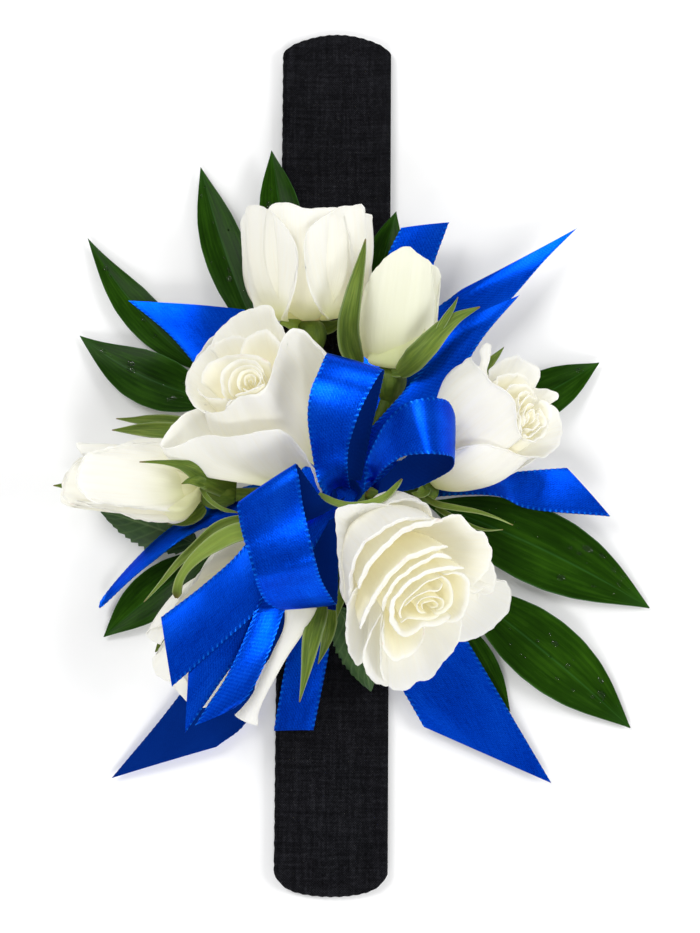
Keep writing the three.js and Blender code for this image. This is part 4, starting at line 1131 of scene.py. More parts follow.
def patches(base, axis, rims, mode, H=1.0, seed=0):
    """Rims are picture points with either a height z, or a share of the bloom's height along its axis."""
    out = []
    ax = unit(axis)
    b0 = np.asarray(base, float)
    for i, (q, pts, kw) in enumerate(rims):
        if kw.get("mode", mode) == "z":
            R = [at(x, y, z) for x, y, z in pts]
        elif kw.get("mode", mode) == "on":
            R = [lay_on([g[0] for g in out], x, y, lift) for x, y, lift in pts]
            R = [r for r in R if r is not None]
        else:
            R = [on_plane(x, y, b0 + ax * h * H, ax) for x, y, h in pts]
        foot = at(*kw["foot"]) if "foot" in kw else b0
        kw = {a: b for a, b in kw.items() if a not in ("mode", "foot")}
        P, UV = patch(foot, ax, R, seed=seed + i * 13, **kw)
        out.append((P, UV, q))
    return out


OUT = dict(cup=0.55, belly=0.10, low=0.22)
DISH = dict(cup=0.22, low=0.42, flare=0.70, belly=0.10)
NEST = dict(cup=0.40, low=0.30, flare=0.42, belly=0.14)
FRONT = [
    # bowl of outer petals behind everything else
    (1.0, [(347, 545, 0.46), (353, 526, 0.46), (373, 512, 0.46), (400, 510, 0.46), (425, 517, 0.46), (449, 533, 0.46), (468, 548, 0.46), (477, 567, 0.45), (479, 590, 0.45), (471, 613, 0.45), (456, 634, 0.45),
           (440, 652, 0.45), (421, 667, 0.45), (404, 674, 0.45), (389, 667, 0.45), (378, 648, 0.46), (366, 620, 0.46), (354, 592, 0.46), (348, 568, 0.46), (347, 545, 0.46)], dict(DISH, roll=(0.5, 0.6), flare=0.4)),
    (1.0, [(383, 509, 0.52), (388, 505, 0.54), (396, 501, 0.56), (407, 499.5, 0.58), (419, 503, 0.60), (427, 510, 0.62), (432, 519, 0.64)], dict(OUT, roll=(1.5, 1.6), cup=0.35)),
    (1.0, [(349, 607, 0.60), (343.5, 596, 0.60), (340.5, 575, 0.60), (339, 553, 0.60), (337.5, 530, 0.59), (337, 513, 0.58), (345, 507, 0.58), (362, 505, 0.58), (378, 504, 0.58), (392, 505, 0.58)], dict(DISH, roll=(0.5, 0.6))),
    (1.0, [(349, 606, 0.66), (352, 588, 0.74), (353.5, 567, 0.80), (364, 544, 0.84), (382, 529.5, 0.86), (399, 521, 0.86), (419, 519.5, 0.84), (433, 522, 0.80)], dict(NEST, roll=(2.5, 1.5), belly=0.16, cup=0.45, flare=0.15)),
    (0.5, [(360, 588, 0.86), (373, 562, 0.89), (389.6, 544.6, 0.91), (407, 531.5, 0.92), (427.7, 525.5, 0.90), (442, 521, 0.85)], dict(NEST, roll=(2.6, 1.5))),
    (0.8, [(438, 522, 0.82), (443, 519.5, 0.80), (452.7, 516.7, 0.78), (461.5, 519.6, 0.77), (471.7, 531.4, 0.76), (480.5, 532.8, 0.74), (485.7, 541.6, 0.73), (488, 556, 0.72), (485, 568, 0.72), (478, 579, 0.73), (471.7, 585.6, 0.75)], dict(DISH, roll=(0.8, 0.8))),
    (1.0, [(484, 556, 0.66), (491, 568, 0.64), (493, 580, 0.63), (491, 591, 0.62), (482, 594, 0.64)], dict(DISH, roll=(0.8, 0.8))),
    (1.0, [(473, 594, 0.66), (484, 585, 0.61), (493.7, 581.5, 0.57), (502.5, 581.2, 0.54), (508, 592, 0.52), (507, 607.7, 0.53), (499.6, 619.4, 0.55), (485, 631, 0.58), (470, 637.5, 0.62), (456, 640.7, 0.66)], dict(DISH, roll=(1.0, 1.2))),
    (0.9, [(460, 612, 0.80), (457.5, 635.5, 0.74), (452.7, 647.3, 0.71), (441, 662, 0.67), (430.6, 676, 0.63), (416, 680, 0.61), (407, 687, 0.60), (397, 688, 0.60), (388, 682, 0.62), (382.5, 671, 0.68), (381, 649, 0.76), (381, 627, 0.82), (382, 614, 0.86)], dict(DISH, roll=(0.8, 0.9), wav=0.3)),
    (1.0, [(357, 588, 0.80), (350.5, 601, 0.77), (348, 620, 0.74), (349, 640, 0.70), (353, 656, 0.66), (360, 664, 0.65), (364, 660, 0.66)], dict(DISH, roll=(0.8, 1.1))),
    (0.95, [(382, 612, 0.87), (374, 627, 0.84), (367, 644, 0.79), (365, 659, 0.74), (369, 670, 0.70), (377, 679, 0.66), (388, 685, 0.63)], dict(DISH, roll=(1.2, 1.2))),
    (0.4, [(384, 622, 0.89), (383.7, 641.4, 0.84), (389.6, 653, 0.81), (397, 657.5, 0.80), (408.6, 651.7, 0.82), (419, 643, 0.85), (423.5, 630, 0.88), (424, 620, 0.90)], dict(DISH, roll=(1.0, 0.9))),
    (0.3, [(361.7, 627, 0.88), (373.4, 601.8, 0.92), (388, 579.8, 0.95), (407, 562, 0.97), (427.7, 552, 0.97), (446.8, 547.5, 0.94)], dict(NEST, roll=(2.5, 1.6))),
    (0.2, [(383.7, 611, 0.95), (389.6, 591.5, 0.98), (407, 574, 1.0), (424.8, 562, 1.0), (436, 557, 1.0), (450, 559, 0.97)], dict(NEST, roll=(2.0, 1.5))),
    (0.2, [(401, 631, 0.95), (396, 623, 0.97), (393.5, 614, 0.99), (395, 602, 1.01), (405, 588, 1.03), (419, 577.5, 1.04), (436.5, 571, 1.03), (450, 569, 1.0), (462, 569.5, 0.96)], dict(NEST, roll=(2.2, 1.5))),
    (0.25, [(444, 573.5, 1.0), (457, 574, 0.97), (464, 581, 0.95), (465, 592, 0.94), (461.5, 607.7, 0.93), (452.7, 618, 0.92), (441, 621, 0.93)], dict(NEST, roll=(1.4, 1.2))),
    (0.2, [(397, 622, 0.95), (403, 631, 0.93), (412, 629, 0.94), (423, 621, 0.95), (436, 619, 0.95), (450, 615, 0.95)], dict(NEST, roll=(1.7, 1.3))),
    (0.2, [(402, 618, 0.98), (400.5, 611, 0.99), (404, 602, 1.01), (416, 590, 1.02), (427.7, 582, 1.03), (440, 576.5, 1.02)], dict(NEST, roll=(1.1, 1.1), crk=0.1, tint=0.955)),
    (0.2, [(440, 576.5, 1.01), (446.8, 582, 1.0), (449, 593, 0.99), (448, 603, 0.98), (442, 610, 0.98), (434, 613.5, 0.98)], dict(NEST, roll=(1.1, 1.1), crk=0.1, tint=0.955)),
    (0.12, [(404, 606, 0.99), (413, 597.5, 1.0), (426, 592, 1.01), (437, 590, 1.01), (442, 583, 1.01)], dict(NEST, roll=(0.9, 1.1), crk=0.1, tint=0.955)),
    (0.1, [(426, 613, 0.97), (419.5, 611, 0.97), (417.4, 604, 0.98), (423.3, 598, 0.99), (433.6, 596.5, 0.99), (441, 599, 0.98), (441.5, 604.7, 0.97), (436, 609.5, 0.96)], dict(NEST, roll=(0.8, 1.0), crk=0.08, tint=0.95)),
    (0.0, [(422, 608.5, 0.96), (422.6, 602.5, 0.97), (429, 599.8, 0.97), (435.8, 602, 0.97), (435, 605.5, 0.96), (430, 607.5, 0.95)], dict(NEST, roll=(0.6, 0.9), crk=0.06, tint=0.95)),
    (0.1, [(400, 622, 0.96), (408, 616, 0.97), (419, 617, 0.97), (430.6, 616, 0.97), (441, 612, 0.97)], dict(NEST, roll=(0.9, 1.0), crk=0.1, tint=0.955)),
]
UPPER_LEFT = [
    (0.85, [(279, 357, 0.89), (286, 349, 0.91), (287, 343, 0.93), (282, 330, 0.97), (275, 318, 1.0), (272.5, 309.5, 1.01), (265, 307.5, 1.01), (254.4, 310.5, 1.0), (241, 315, 0.98), (227.7, 324, 0.96), (217, 336, 0.94), (210, 349, 0.92)], dict(DISH, roll=(0.7, 0.7))),
    (0.8, [(215, 342, 0.90), (205.5, 353, 0.89), (200, 359, 0.88), (192, 370, 0.87), (188.5, 381, 0.85), (190, 393, 0.83), (195, 404, 0.81), (204, 411.5, 0.79), (213, 414.5, 0.79), (226, 414, 0.80)], dict(DISH, roll=(0.9, 0.9))),
    (0.6, [(213, 352, 0.91), (218, 346, 0.93), (226, 341, 0.95), (238, 340, 0.97), (250, 341.5, 0.97)], dict(DISH, roll=(1.2, 1.0))),
    (0.5, [(240, 357, 0.94), (245.5, 345, 0.97), (257, 335.5, 0.99), (266, 334.5, 0.99), (275, 341, 0.97), (279.5, 350, 0.95), (277, 362, 0.92)], dict(DISH, roll=(1.2, 1.0))),
    (0.42, [(203, 384, 0.88), (206, 373, 0.92), (216, 363, 0.94), (228, 359.5, 0.97), (242, 358.5, 0.99), (257, 360, 0.99), (271, 364, 0.96)], dict(DISH, roll=(1.2, 1.1))),
    (0.3, [(224, 396, 0.94), (224.5, 380, 0.98), (231, 368, 1.0), (242.7, 363, 1.0), (254, 365.5, 1.0), (264, 373, 0.98)], dict(NEST, roll=(1.2, 1.1))),
    (0.5, [(198, 389, 0.83), (206, 397.5, 0.84), (217, 400.5, 0.86), (231, 399.5, 0.89)], dict(NEST, roll=(1.2, 1.1))),
    (0.25, [(230, 393, 0.96), (232, 381, 0.99), (238, 372, 1.0), (248, 368.5, 1.01), (258, 372, 1.0), (263, 380, 0.99)], dict(NEST, roll=(1.0, 1.1), crk=0.12, cup=0.2, tint=0.96)),
    (0.2, [(236, 396, 0.95), (246, 393, 0.97), (256, 390, 0.98), (264, 384, 0.98)], dict(NEST, roll=(1.2, 1.1), crk=0.12, cup=0.2, tint=0.96)),
    (0.12, [(241, 391, 0.98), (239.5, 382, 1.0), (244, 374.5, 1.01), (252, 372.5, 1.01), (259, 377, 1.0), (260, 384, 0.99)], dict(NEST, roll=(0.9, 1.1), crk=0.1, tint=0.955)),
    (0.1, [(243, 389, 0.98), (250, 391, 0.98), (257, 388, 0.98), (260, 382, 0.99)], dict(NEST, roll=(0.8, 1.0), crk=0.1, tint=0.955)),
    (0.05, [(246.5, 386, 0.98), (246, 379.5, 0.99), (251, 376.5, 1.0), (255.5, 379.5, 0.99), (255, 385, 0.98)], dict(NEST, roll=(0.7, 1.0), crk=0.08, tint=0.95)),
    (0.0, [(249, 384, 0.97), (250, 380.5, 0.98), (253, 381, 0.98), (252.5, 384.5, 0.97)], dict(NEST, roll=(0.5, 0.9), crk=0.05, tint=0.94)),
    (0.6, [(226, 408, 0.88), (233, 401.5, 0.90), (243, 398, 0.92), (254, 396.5, 0.93), (264, 392, 0.93), (270, 383, 0.93)], dict(NEST, roll=(1.0, 1.0), cup=0.25, belly=0.05)),
    (1.0, [(205, 411, 31.5), (214, 415, 34), (225, 413.5, 37), (233, 406.5, 40), (240.5, 399.5, 42.4), (251, 397.5, 44.2), (260, 396, 45.2), (266, 391, 45.4), (270.7, 382, 44.2), (275, 368, 41.7), (279, 355, 39.6), (283, 343, 37.8),
           (288, 335, 36.9), (294, 332, 36.6), (300, 332, 36.2), (307, 336, 35.8), (316, 346, 35.2), (324, 356, 34.4), (331, 374, 33), (335, 398, 31)], dict(mode="z", roll=(1.0, 1.4), n_u=71, belly=0.26, cup=0.95, low=0.14, und=0.04, claw=3.0, foot=(315, 491, 26))),
    (1.0, [(206, 404, 27), (197, 409, 27.6), (190, 413, 28.2), (182, 418.5, 28.8), (171, 431, 29.2), (162.5, 444, 29.2), (164, 449, 29.4), (171, 449.5, 30), (184, 445, 31.4), (198, 439, 33), (210, 437, 34.6), (228.7, 439, 37), (245, 436.5, 38.8), (261, 433, 40.2),
           (273, 431, 40.8), (284, 433, 40.2), (294, 442, 38.8), (304, 455, 37), (312, 470, 35), (318, 488, 32)], dict(mode="z", roll=(0.7, 0.9), n_u=71, belly=0.08, cup=0.52, low=0.42, und=0.04, claw=3.0, foot=(314, 492, 25))),
    (1.0, [(226, 326, 0.80), (208, 346, 0.80), (194, 367, 0.77), (191, 390, 0.72), (198, 406, 0.66)], dict(OUT, roll=(0.8, 0.9))),
    (1.0, [(283, 335, 0.82), (268, 316, 0.86), (252, 316, 0.86), (232, 325, 0.84)], dict(OUT, roll=(0.8, 0.9))),
]
FRILL = dict(cup=0.40, low=0.30, flare=0.30, belly=0.14, crk=0.62, wav=0.3)
RIGHT = [
    (1.0, [(440, 402, 25), (452, 381, 27), (462, 366, 29), (467.7, 361, 31), (472, 366, 34), (477, 371.5, 36.5), (484, 379, 38), (491, 386, 38.8), (502, 392, 39.3), (511, 400, 39.3), (513.7, 414, 38.5), (515.5, 429, 37), (521, 438, 35)], dict(OUT, roll=(1.2, 1.2), cup=0.5, belly=0.16)),
    (0.95, [(488, 380, 33), (494.6, 367, 31.5), (506, 361.5, 30.5), (516, 359, 29.5), (523, 363, 28.5), (534, 368.5, 27.3), (539, 376, 26.5), (535.5, 387, 27)], dict(DISH, roll=(0.9, 1.0), wav=0.4, crk=0.34)),
    (0.9, [(534, 388, 28), (545.7, 391, 26.7), (557, 394.5, 25.5), (556, 400, 25.5), (547, 401, 27)], dict(DISH, roll=(0.5, 0.7), crk=0.3)),
    (1.0, [(523, 456, 28.6), (535, 456.5, 27.2), (547, 453, 25.6), (556.5, 443, 24), (559.3, 430, 23.5), (558, 418, 23.7), (553, 409.5, 24.6), (547, 404, 26)], dict(DISH, roll=(0.8, 0.9), wav=0.3, crk=0.34)),
    (1.0, [(442, 462, 28), (458, 450, 32.5), (474, 446.5, 34.6), (489.4, 447.3, 35), (507, 452, 33.4), (518, 455.5, 31), (525, 457, 28.8), (527, 459, 25), (517, 462, 19)], dict(OUT, roll=(0.9, 1.0), belly=0.18, cup=0.62)),
    (0.4, [(494, 386, 36), (500, 378.5, 35.2), (512, 376.5, 34.5), (523, 380, 33.5), (531, 389, 32)], dict(FRILL, roll=(1.0, 1.0))),
    (0.35, [(505, 393, 37.6), (513, 387, 36.6), (523, 387, 35.2), (531, 393, 33.6), (537, 401, 32)], dict(FRILL, roll=(1.0, 1.0))),
    (0.25, [(519.5, 435, 35.4), (517, 422, 36.4), (517, 408, 36.6), (520, 397, 36), (527, 392, 34.6)], dict(FRILL, roll=(1.1, 1.1))),
    (0.35, [(520, 439, 34.5), (530, 441.5, 33), (540, 435, 31.6), (546, 423, 30.6), (546, 410, 30.4), (540, 400, 31.4)], dict(FRILL, roll=(1.2, 1.0))),
    (0.15, [(519, 432, 36.2), (518, 418, 37.2), (520, 406, 36.8), (527, 398, 35.2), (535, 399, 33.4)], dict(FRILL, roll=(0.9, 1.0))),
    (0.2, [(522, 434, 35), (530, 436, 33.8), (538, 429, 32.8), (542, 418, 32.2), (539, 407, 32.6)], dict(FRILL, roll=(0.9, 1.0))),
    (0.1, [(523, 427, 36), (523, 415, 36.6), (527, 406, 35.8), (534, 405, 34.2)], dict(FRILL, roll=(0.8, 1.0))),
    (0.1, [(525, 429, 35.4), (531, 430, 34.4), (536, 422, 33.8), (536, 412, 33.8)], dict(FRILL, roll=(0.8, 1.0))),
    (0.0, [(527, 423, 35.6), (527, 414, 35.8), (531, 410, 35), (534, 416, 34.6), (532, 423, 35)], dict(FRILL, roll=(0.6, 1.0), crk=0.4)),
    (1.0, [(446, 476, 20), (470, 458, 24), (500, 460, 24), (522, 458, 22), (544, 450, 20), (552, 432, 19), (548, 412, 20), (536, 394, 23), (516, 378, 27), (494, 380, 30)], dict(DISH, roll=(0.5, 0.6), flare=0.4)),
    (1.0, [(556, 436, 17), (553, 418, 15), (543, 400, 15), (526, 384, 16), (508, 372, 19)], dict(OUT, roll=(0.8, 0.9))),
    (1.0, [(543, 452, 19), (553, 440, 16), (551, 420, 14), (540, 404, 14)], dict(OUT, roll=(0.8, 0.9))),
]
CUPPED = dict(cup=0.62, belly=0.04, low=0.10, claw=5.2)
TOP = [
    (0.9, [(266, 214, 30), (273, 208, 31.3), (281, 205.5, 32.4), (291, 206.5, 33), (298.4, 210, 33.2), (308, 212.5, 33), (323, 211, 32.2), (335, 211, 31), (344, 215, 29.4)], dict(CUPPED, roll=(0.9, 0.8), belly=0.27, cup=0.78, claw=6.4, own=0.8)),
    (1.0, [(254, 303, 17.5), (250, 275, 18.5), (247.8, 245, 20), (247.2, 223, 22.5), (246.4, 214, 24.2), (246.8, 209.4, 25.5), (252, 207.5, 27), (259.3, 208, 28.5), (266, 210, 30), (271.6, 213.5, 31.5), (280, 221.5, 33.5), (286, 229, 34.8), (292, 238, 35.8), (296, 247, 36.4), (298, 261, 36.4), (295, 278, 34.8), (290, 295, 31.5), (286, 312, 26)], dict(CUPPED, roll=(0.5, 0.8), n_u=61, claw=7.0, cup=0.58, own=0.92)),
    (1.0, [(320, 311, 26), (313, 295, 31.5), (307.5, 278, 34.8), (304.5, 258, 36.4), (304.5, 243, 36.4), (308, 232, 35.6), (315.6, 224, 34.6), (327.8, 216, 32.6), (340, 209, 30.5), (352, 207, 28.5), (363, 206.5, 26), (362.5, 222, 24.5), (360, 244, 23), (356, 270, 21), (347, 300, 19)], dict(CUPPED, roll=(0.5, 0.8), n_u=61, claw=7.0, cup=0.58, own=0.92)),
    (1.0, [(256, 286, 13), (248.5, 271, 14), (243, 247, 15), (241.5, 230, 16), (243.5, 219, 18), (250, 213, 20), (262, 212, 21)], dict(CUPPED, roll=(0.6, 0.8))),
    (1.0, [(346, 212, 24), (356, 212, 22), (364, 215, 20.5), (372.5, 218, 19), (368.5, 230, 18), (363, 245, 16), (354, 268, 14)], dict(CUPPED, roll=(0.6, 0.8))),
    (1.0, [(270, 300, 4.5), (257, 280, 5), (249, 256, 6.5), (245.5, 236, 9.5), (246, 223, 13.5), (250, 216, 17.5)], dict(CUPPED, roll=(0.7, 0.9), cup=0.9, belly=0.10)),
    (1.0, [(344, 292, 5), (354, 270, 6), (362, 248, 8), (366, 232, 11.5), (367, 221, 15.5)], dict(CUPPED, roll=(0.7, 0.9), cup=0.9, belly=0.10)),
    (0.9, [(262, 214, 19), (280, 210, 13), (302, 212, 10), (324, 211, 11), (342, 213, 15)], dict(CUPPED, roll=(0.9, 0.8))),
    (0.9, [(246, 232, 14), (262, 218, 8), (286, 214, 5.5), (308, 216, 5)], dict(CUPPED, roll=(0.9, 0.8))),
    (0.9, [(300, 216, 5.5), (326, 214, 6), (348, 218, 9), (362, 232, 13)], dict(CUPPED, roll=(0.9, 0.8))),
    (0.5, [(272, 217, 28), (288, 213, 29), (305, 217, 29), (322, 215, 28.5), (336, 218, 27)], dict(NEST, roll=(0.8, 0.8), claw=6.0, own=0.8)),
    (0.4, [(268, 220, 22), (284, 215, 17), (304, 216, 15), (324, 215, 17), (340, 220, 22)], dict(NEST, roll=(0.8, 0.8))),
    (0.2, [(284, 221, 24), (296, 216, 24.5), (312, 217, 24.5), (324, 221, 23)], dict(NEST, roll=(0.8, 0.8))),
    (0.2, [(284, 221, 21), (298, 217, 19), (312, 218, 19), (324, 221, 21)], dict(NEST, roll=(0.8, 0.8))),
    (0.9, [(345, 303, 23), (350, 285, 25), (352, 262, 27), (350, 240, 28.5), (344, 222, 29.5)], dict(CUPPED, roll=(0.4, 0.6))),
]
BUD_TOP = [
    (0.75, [(388, 262, 33), (396, 253, 33.5), (406, 248, 33), (415, 254, 31), (423, 260, 29), (429, 267, 27)], dict(roll=(0.5, 0.6), cup=0.8, belly=0.15)),
    (0.9, [(363.5, 322, 25), (363, 304, 27.6), (366, 287, 31), (375, 271, 34), (387, 258.5, 35.8), (400, 250.5, 36.3), (408, 248.5, 36.6), (415, 254, 36.6), (423, 259, 35.6), (430, 264, 33.6), (432.5, 274, 31.4), (433.5, 290, 28.4), (433, 308, 26)], dict(roll=(0.5, 0.7), cup=0.95, belly=0.12, n_u=45, tint=0.84)),
    # a petal laid on the bud's lower side; its low tint gives it the darker green of a petal base: painted shade on its
    # downward face
    (0.95, [(371, 353, 0.12), (376, 355, 0.25), (385, 352, 0.3), (398.7, 347, 0.3), (411, 341, 0.3), (421, 335, 0.25), (425, 328, 0.12)], dict(mode="on", roll=(0.1, 0.3), cup=1.0, belly=0.14, crk=0.04, und=0.0, low=0.1, tint=0.14)),
    (0.9, [(436, 300, 22), (440, 284, 23), (439, 274, 24), (433, 267, 25), (424, 263, 24)], dict(roll=(0.5, 0.6), cup=0.9, belly=0.12)),
    (0.9, [(364, 300, 23), (371, 280, 21), (386, 266, 18), (404, 260, 17), (420, 264, 18), (434, 276, 21)], dict(roll=(0.5, 0.6), cup=0.9, belly=0.15)),
    (0.9, [(370, 306, 21), (386, 288, 17.5), (404, 283, 17), (420, 290, 17.5), (432, 304, 21)], dict(roll=(0.5, 0.6), cup=1.0, belly=0.15)),
    (0.9, [(363, 310, 26), (372, 290, 19), (390, 276, 16.5), (410, 274, 16.5), (428, 284, 19), (435, 300, 25)], dict(roll=(0.5, 0.6), cup=0.9, belly=0.15)),
]
BUD_LEFT = [
    (1.0, [(160, 444, 20), (130, 446, 22.4), (110, 450, 24.4), (98, 452.5, 25.2), (90, 456, 25.8), (83, 466, 26.3), (79.5, 477, 26.4), (81, 487, 26), (88, 496, 25.2), (96, 501, 24.8), (112, 503, 24.4), (132, 506, 23.6), (152, 509, 22.2), (170, 506, 20)], dict(roll=(1.2, 1.6), cup=0.72, low=0.30, belly=0.12, n_u=61, crk=0.42, tint=0.88)),
    (1.0, [(168, 441, 14), (150, 440.5, 15), (137, 440.5, 16), (117, 447.5, 17), (100, 449, 18), (89, 446.5, 19), (78, 443.5, 19.5), (79, 449, 20.5), (84, 456, 21.4)], dict(roll=(0.6, 1.0), cup=0.92, belly=0.10, crk=0.22)),
    (1.0, [(76, 500, 21.5), (86, 504, 21.2), (99, 507, 20.4), (120, 512.5, 19), (138, 517.5, 17.6), (154, 521, 15.6), (169, 522, 13)], dict(roll=(0.7, 1.1), cup=0.42, low=0.32, belly=0.12, crk=0.30, tint=0.85)),
    # a petal laid on the bud's lower right; its low tint gives it the green-grey of a petal base: painted shade
    (0.95, [(200, 482, 0.15), (190, 493, 0.3), (178, 502, 0.35), (168, 509, 0.35), (166, 514, 0.3), (169, 519, 0.2)], dict(mode="on", roll=(0.1, 0.3), cup=0.62, belly=0.12, crk=0.05, und=0.0, low=0.26, tint=0.24)),
    (0.8, [(85, 460, 23), (76, 466, 22.6), (70, 474, 22.2), (67, 484, 21.8), (66.5, 494, 21.2), (71, 502, 20.4), (78, 506, 19.5)], dict(roll=(0.9, 1.1), cup=1.0, belly=0.12, crk=0.55)),
    (0.7, [(84, 458, 20.4), (73, 467, 19.6), (66.5, 479, 19), (63.2, 494, 18.6), (66, 503, 18.4), (74, 507, 18)], dict(roll=(0.7, 0.9), cup=1.0, belly=0.12, crk=0.5)),
    (0.6, [(88, 458, 17), (74, 468, 15), (67, 482, 13), (68, 496, 13.5), (80, 506, 15.5)], dict(roll=(0.4, 0.6), cup=1.0, belly=0.15)),
    (1.0, [(90, 450, 17), (82, 463, 11), (76, 482, 8), (82, 500, 9), (98, 509, 15)], dict(roll=(0.5, 0.7), cup=0.85, low=0.25, belly=0.12)),
    (1.0, [(120, 448, 14), (100, 457, 7), (92, 478, 4), (98, 500, 5.5), (126, 514, 12)], dict(roll=(0.5, 0.7), cup=0.85, low=0.25, belly=0.12)),
]
LOWER_LEFT = [
    (1.0, [(238, 540, 24), (222, 549, 24.5), (206, 564, 24.5), (192, 586, 24), (176, 606, 22), (163, 622, 20), (153, 627, 18.5), (147, 631, 18), (151, 638, 18), (160, 645, 19)], dict(OUT, roll=(0.6, 0.9))),
    (1.0, [(160, 650, 17), (155, 657, 17), (156.5, 668, 17), (163, 678, 18), (170, 680, 19)], dict(OUT, roll=(0.7, 1.0), crk=0.35)),
    (1.0, [(170, 674, 20), (176, 686, 19.5), (186, 697, 19), (199, 706, 19.5), (213, 702, 21.5), (232, 668, 23.4), (246, 640, 24.4)], dict(OUT, roll=(0.6, 0.9))),
    (0.6, [(172, 640, 25), (176, 658, 26), (186, 676, 26), (200, 690, 25), (216, 688, 25)], dict(NEST, roll=(0.8, 1.0))),
    (0.5, [(176, 644, 20), (184, 662, 20), (196, 676, 20), (210, 682, 21)], dict(NEST, roll=(0.8, 1.0))),
    (0.4, [(184, 640, 24), (192, 652, 24.5), (204, 664, 24), (216, 668, 23)], dict(NEST, roll=(0.8, 1.0))),
    (1.0, [(160, 640, 12), (164, 664, 8), (178, 688, 7), (200, 704, 9), (222, 700, 14)], dict(OUT, roll=(0.8, 1.0))),
    (1.0, [(170, 628, 14), (174, 650, 8), (190, 676, 6), (214, 690, 9)], dict(OUT, roll=(0.8, 1.0))),
]


def trumpet(stations, n=26, m=17, wrap=2.3):
    """A petal rolled into a narrow open tube: stations are picture x, y, height, half width in mm."""
    S = np.array([[*at(x, y, z), w] for x, y, z, w in stations])
    k = np.concatenate([[0], np.cumsum(np.linalg.norm(np.diff(S[:, :3], axis=0), axis=1) ** 0.5)])
    Q = spline(S, k, np.linspace(0, k[-1], n))
    C, W = Q[:, :3], Q[:, 3]
    tan = np.gradient(C, axis=0)
    P = np.zeros((n, m, 3))
    UV = np.zeros((n, m, 2))
    for i in range(n):
        t = unit(tan[i])
        s = unit(np.cross(t, [0, 0, 1]))
        u = unit(np.cross(s, t))
        for j, a in enumerate(np.linspace(-wrap, wrap, m)):
            P[i, j] = C[i] + W[i] * (s * math.sin(a) + u * (math.cos(a) * 0.8))
            UV[i, j] = (a / wrap, 0.35 + 0.62 * i / (n - 1))
    return P, UV, 1.0


def make_roses(M):
    def setup(n, px=None, py=None, z=None):
        base = np.asarray(ROSES[n][0], float)
        top = np.asarray(ROSES[n][1], float) if px is None else at(px, py, z)
        return base, top - base, float(np.linalg.norm(top - base))

    b, a, H = setup("rose_front", 430.5, 601, 43)
    g = patches(b, a, FRONT, "h", H, 100)
    bloom("petals_front", "bloom_rose_front", g, M)

    b, a, H = setup("rose_upper_left", 248, 380, 43)
    g = patches(b, a, UPPER_LEFT, "h", H, 200)
    bloom("petals_upper_left", "bloom_rose_upper_left", g, M)

    b, a, H = setup("rose_right")
    g = patches(b, a, RIGHT, "z", H, 300)
    g.append(trumpet([(488, 392, 35.5, 1.2), (484.5, 381, 36, 1.0), (483, 370, 36.2, 0.9), (485.5, 359, 36, 1.0), (485.5, 351, 35.6, 1.3), (488.5, 345, 35.2, 0.8)], n=34, wrap=1.7))
    bloom("petals_right", "bloom_rose_right", g, M)

    b, a, H = setup("rose_top")
    bloom("petals_top", "bloom_rose_top", patches(b, a, TOP, "z", H, 400), M)
    b, a, H = setup("rose_bud_top")
    bloom("petals_bud_top", "bloom_rose_bud_top", patches(b, a, BUD_TOP, "z", H, 500) + whorl(b, np.array([18.0, 45.5, 24.6]), 5.0, 9, start=0.6, low=0.3, h0=0.92, h1=0.86), M)
    b, a, H = setup("rose_bud_left")
    bloom("petals_bud_left", "bloom_rose_bud_left", patches(b, a, BUD_LEFT, "z", H, 600), M)
    b, a, H = setup("rose_lower_left")
    g = patches(b, a, LOWER_LEFT, "z", H, 700)
    g.append(trumpet([(300, 606, 27, 4.2), (298.5, 616, 26.8, 3.4), (292, 633, 26.4, 2.3), (281.7, 651, 25.8, 1.85), (267.8, 677.8, 24.4, 1.55), (257, 699, 23, 1.5), (250.5, 711, 22.2, 2.1), (246.5, 720, 21.5, 3.1)]))
    bloom("petals_lower_left", "bloom_rose_lower_left", g, M)


SEPAL = ([0, 0.08, 0.2, 0.35, 0.55, 0.75, 0.9, 1.0], [0.75, 1.0, 0.95, 0.82, 0.58, 0.32, 0.14, 0.03])


def turned(b, base, axis, rz, sides=22, uvq=(0.0, 0.0), lobes=0.0):
    ax = unit(axis)
    ref = np.array([0, 0, 1.0]) if abs(ax[2]) < 0.9 else np.array([1.0, 0, 0])
    ex = unit(np.cross(ax, ref))
    ey = np.cross(ax, ex)
    verts, uv, faces = [], [], []
    n = len(rz)
    for i, (r, z) in enumerate(rz):
        for j in range(sides):
            a = 2 * math.pi * j / sides
            rr = r * (1 + lobes * math.cos(5 * a))
            verts.append(np.asarray(base) + ax * z + rr * (ex * math.cos(a) + ey * math.sin(a)))
            uv.append((0.55 * math.cos(a * 2), i / (n - 1) * 0.85))
    for i in range(n - 1):
        for j in range(sides):
            j2 = (j + 1) % sides
            faces.append((i * sides + j, i * sides + j2, (i + 1) * sides + j2, (i + 1) * sides + j))
    verts += [np.asarray(base) + ax * rz[0][1], np.asarray(base) + ax * rz[-1][1]]
    uv += [(0, 0), (0, 0.85)]
    for j in range(sides):
        j2 = (j + 1) % sides
        faces.append((n * sides, j2, j))
        faces.append((n * sides + 1, (n - 1) * sides + j, (n - 1) * sides + j2))
    b.add(verts, faces, uv, [uvq] * len(verts))


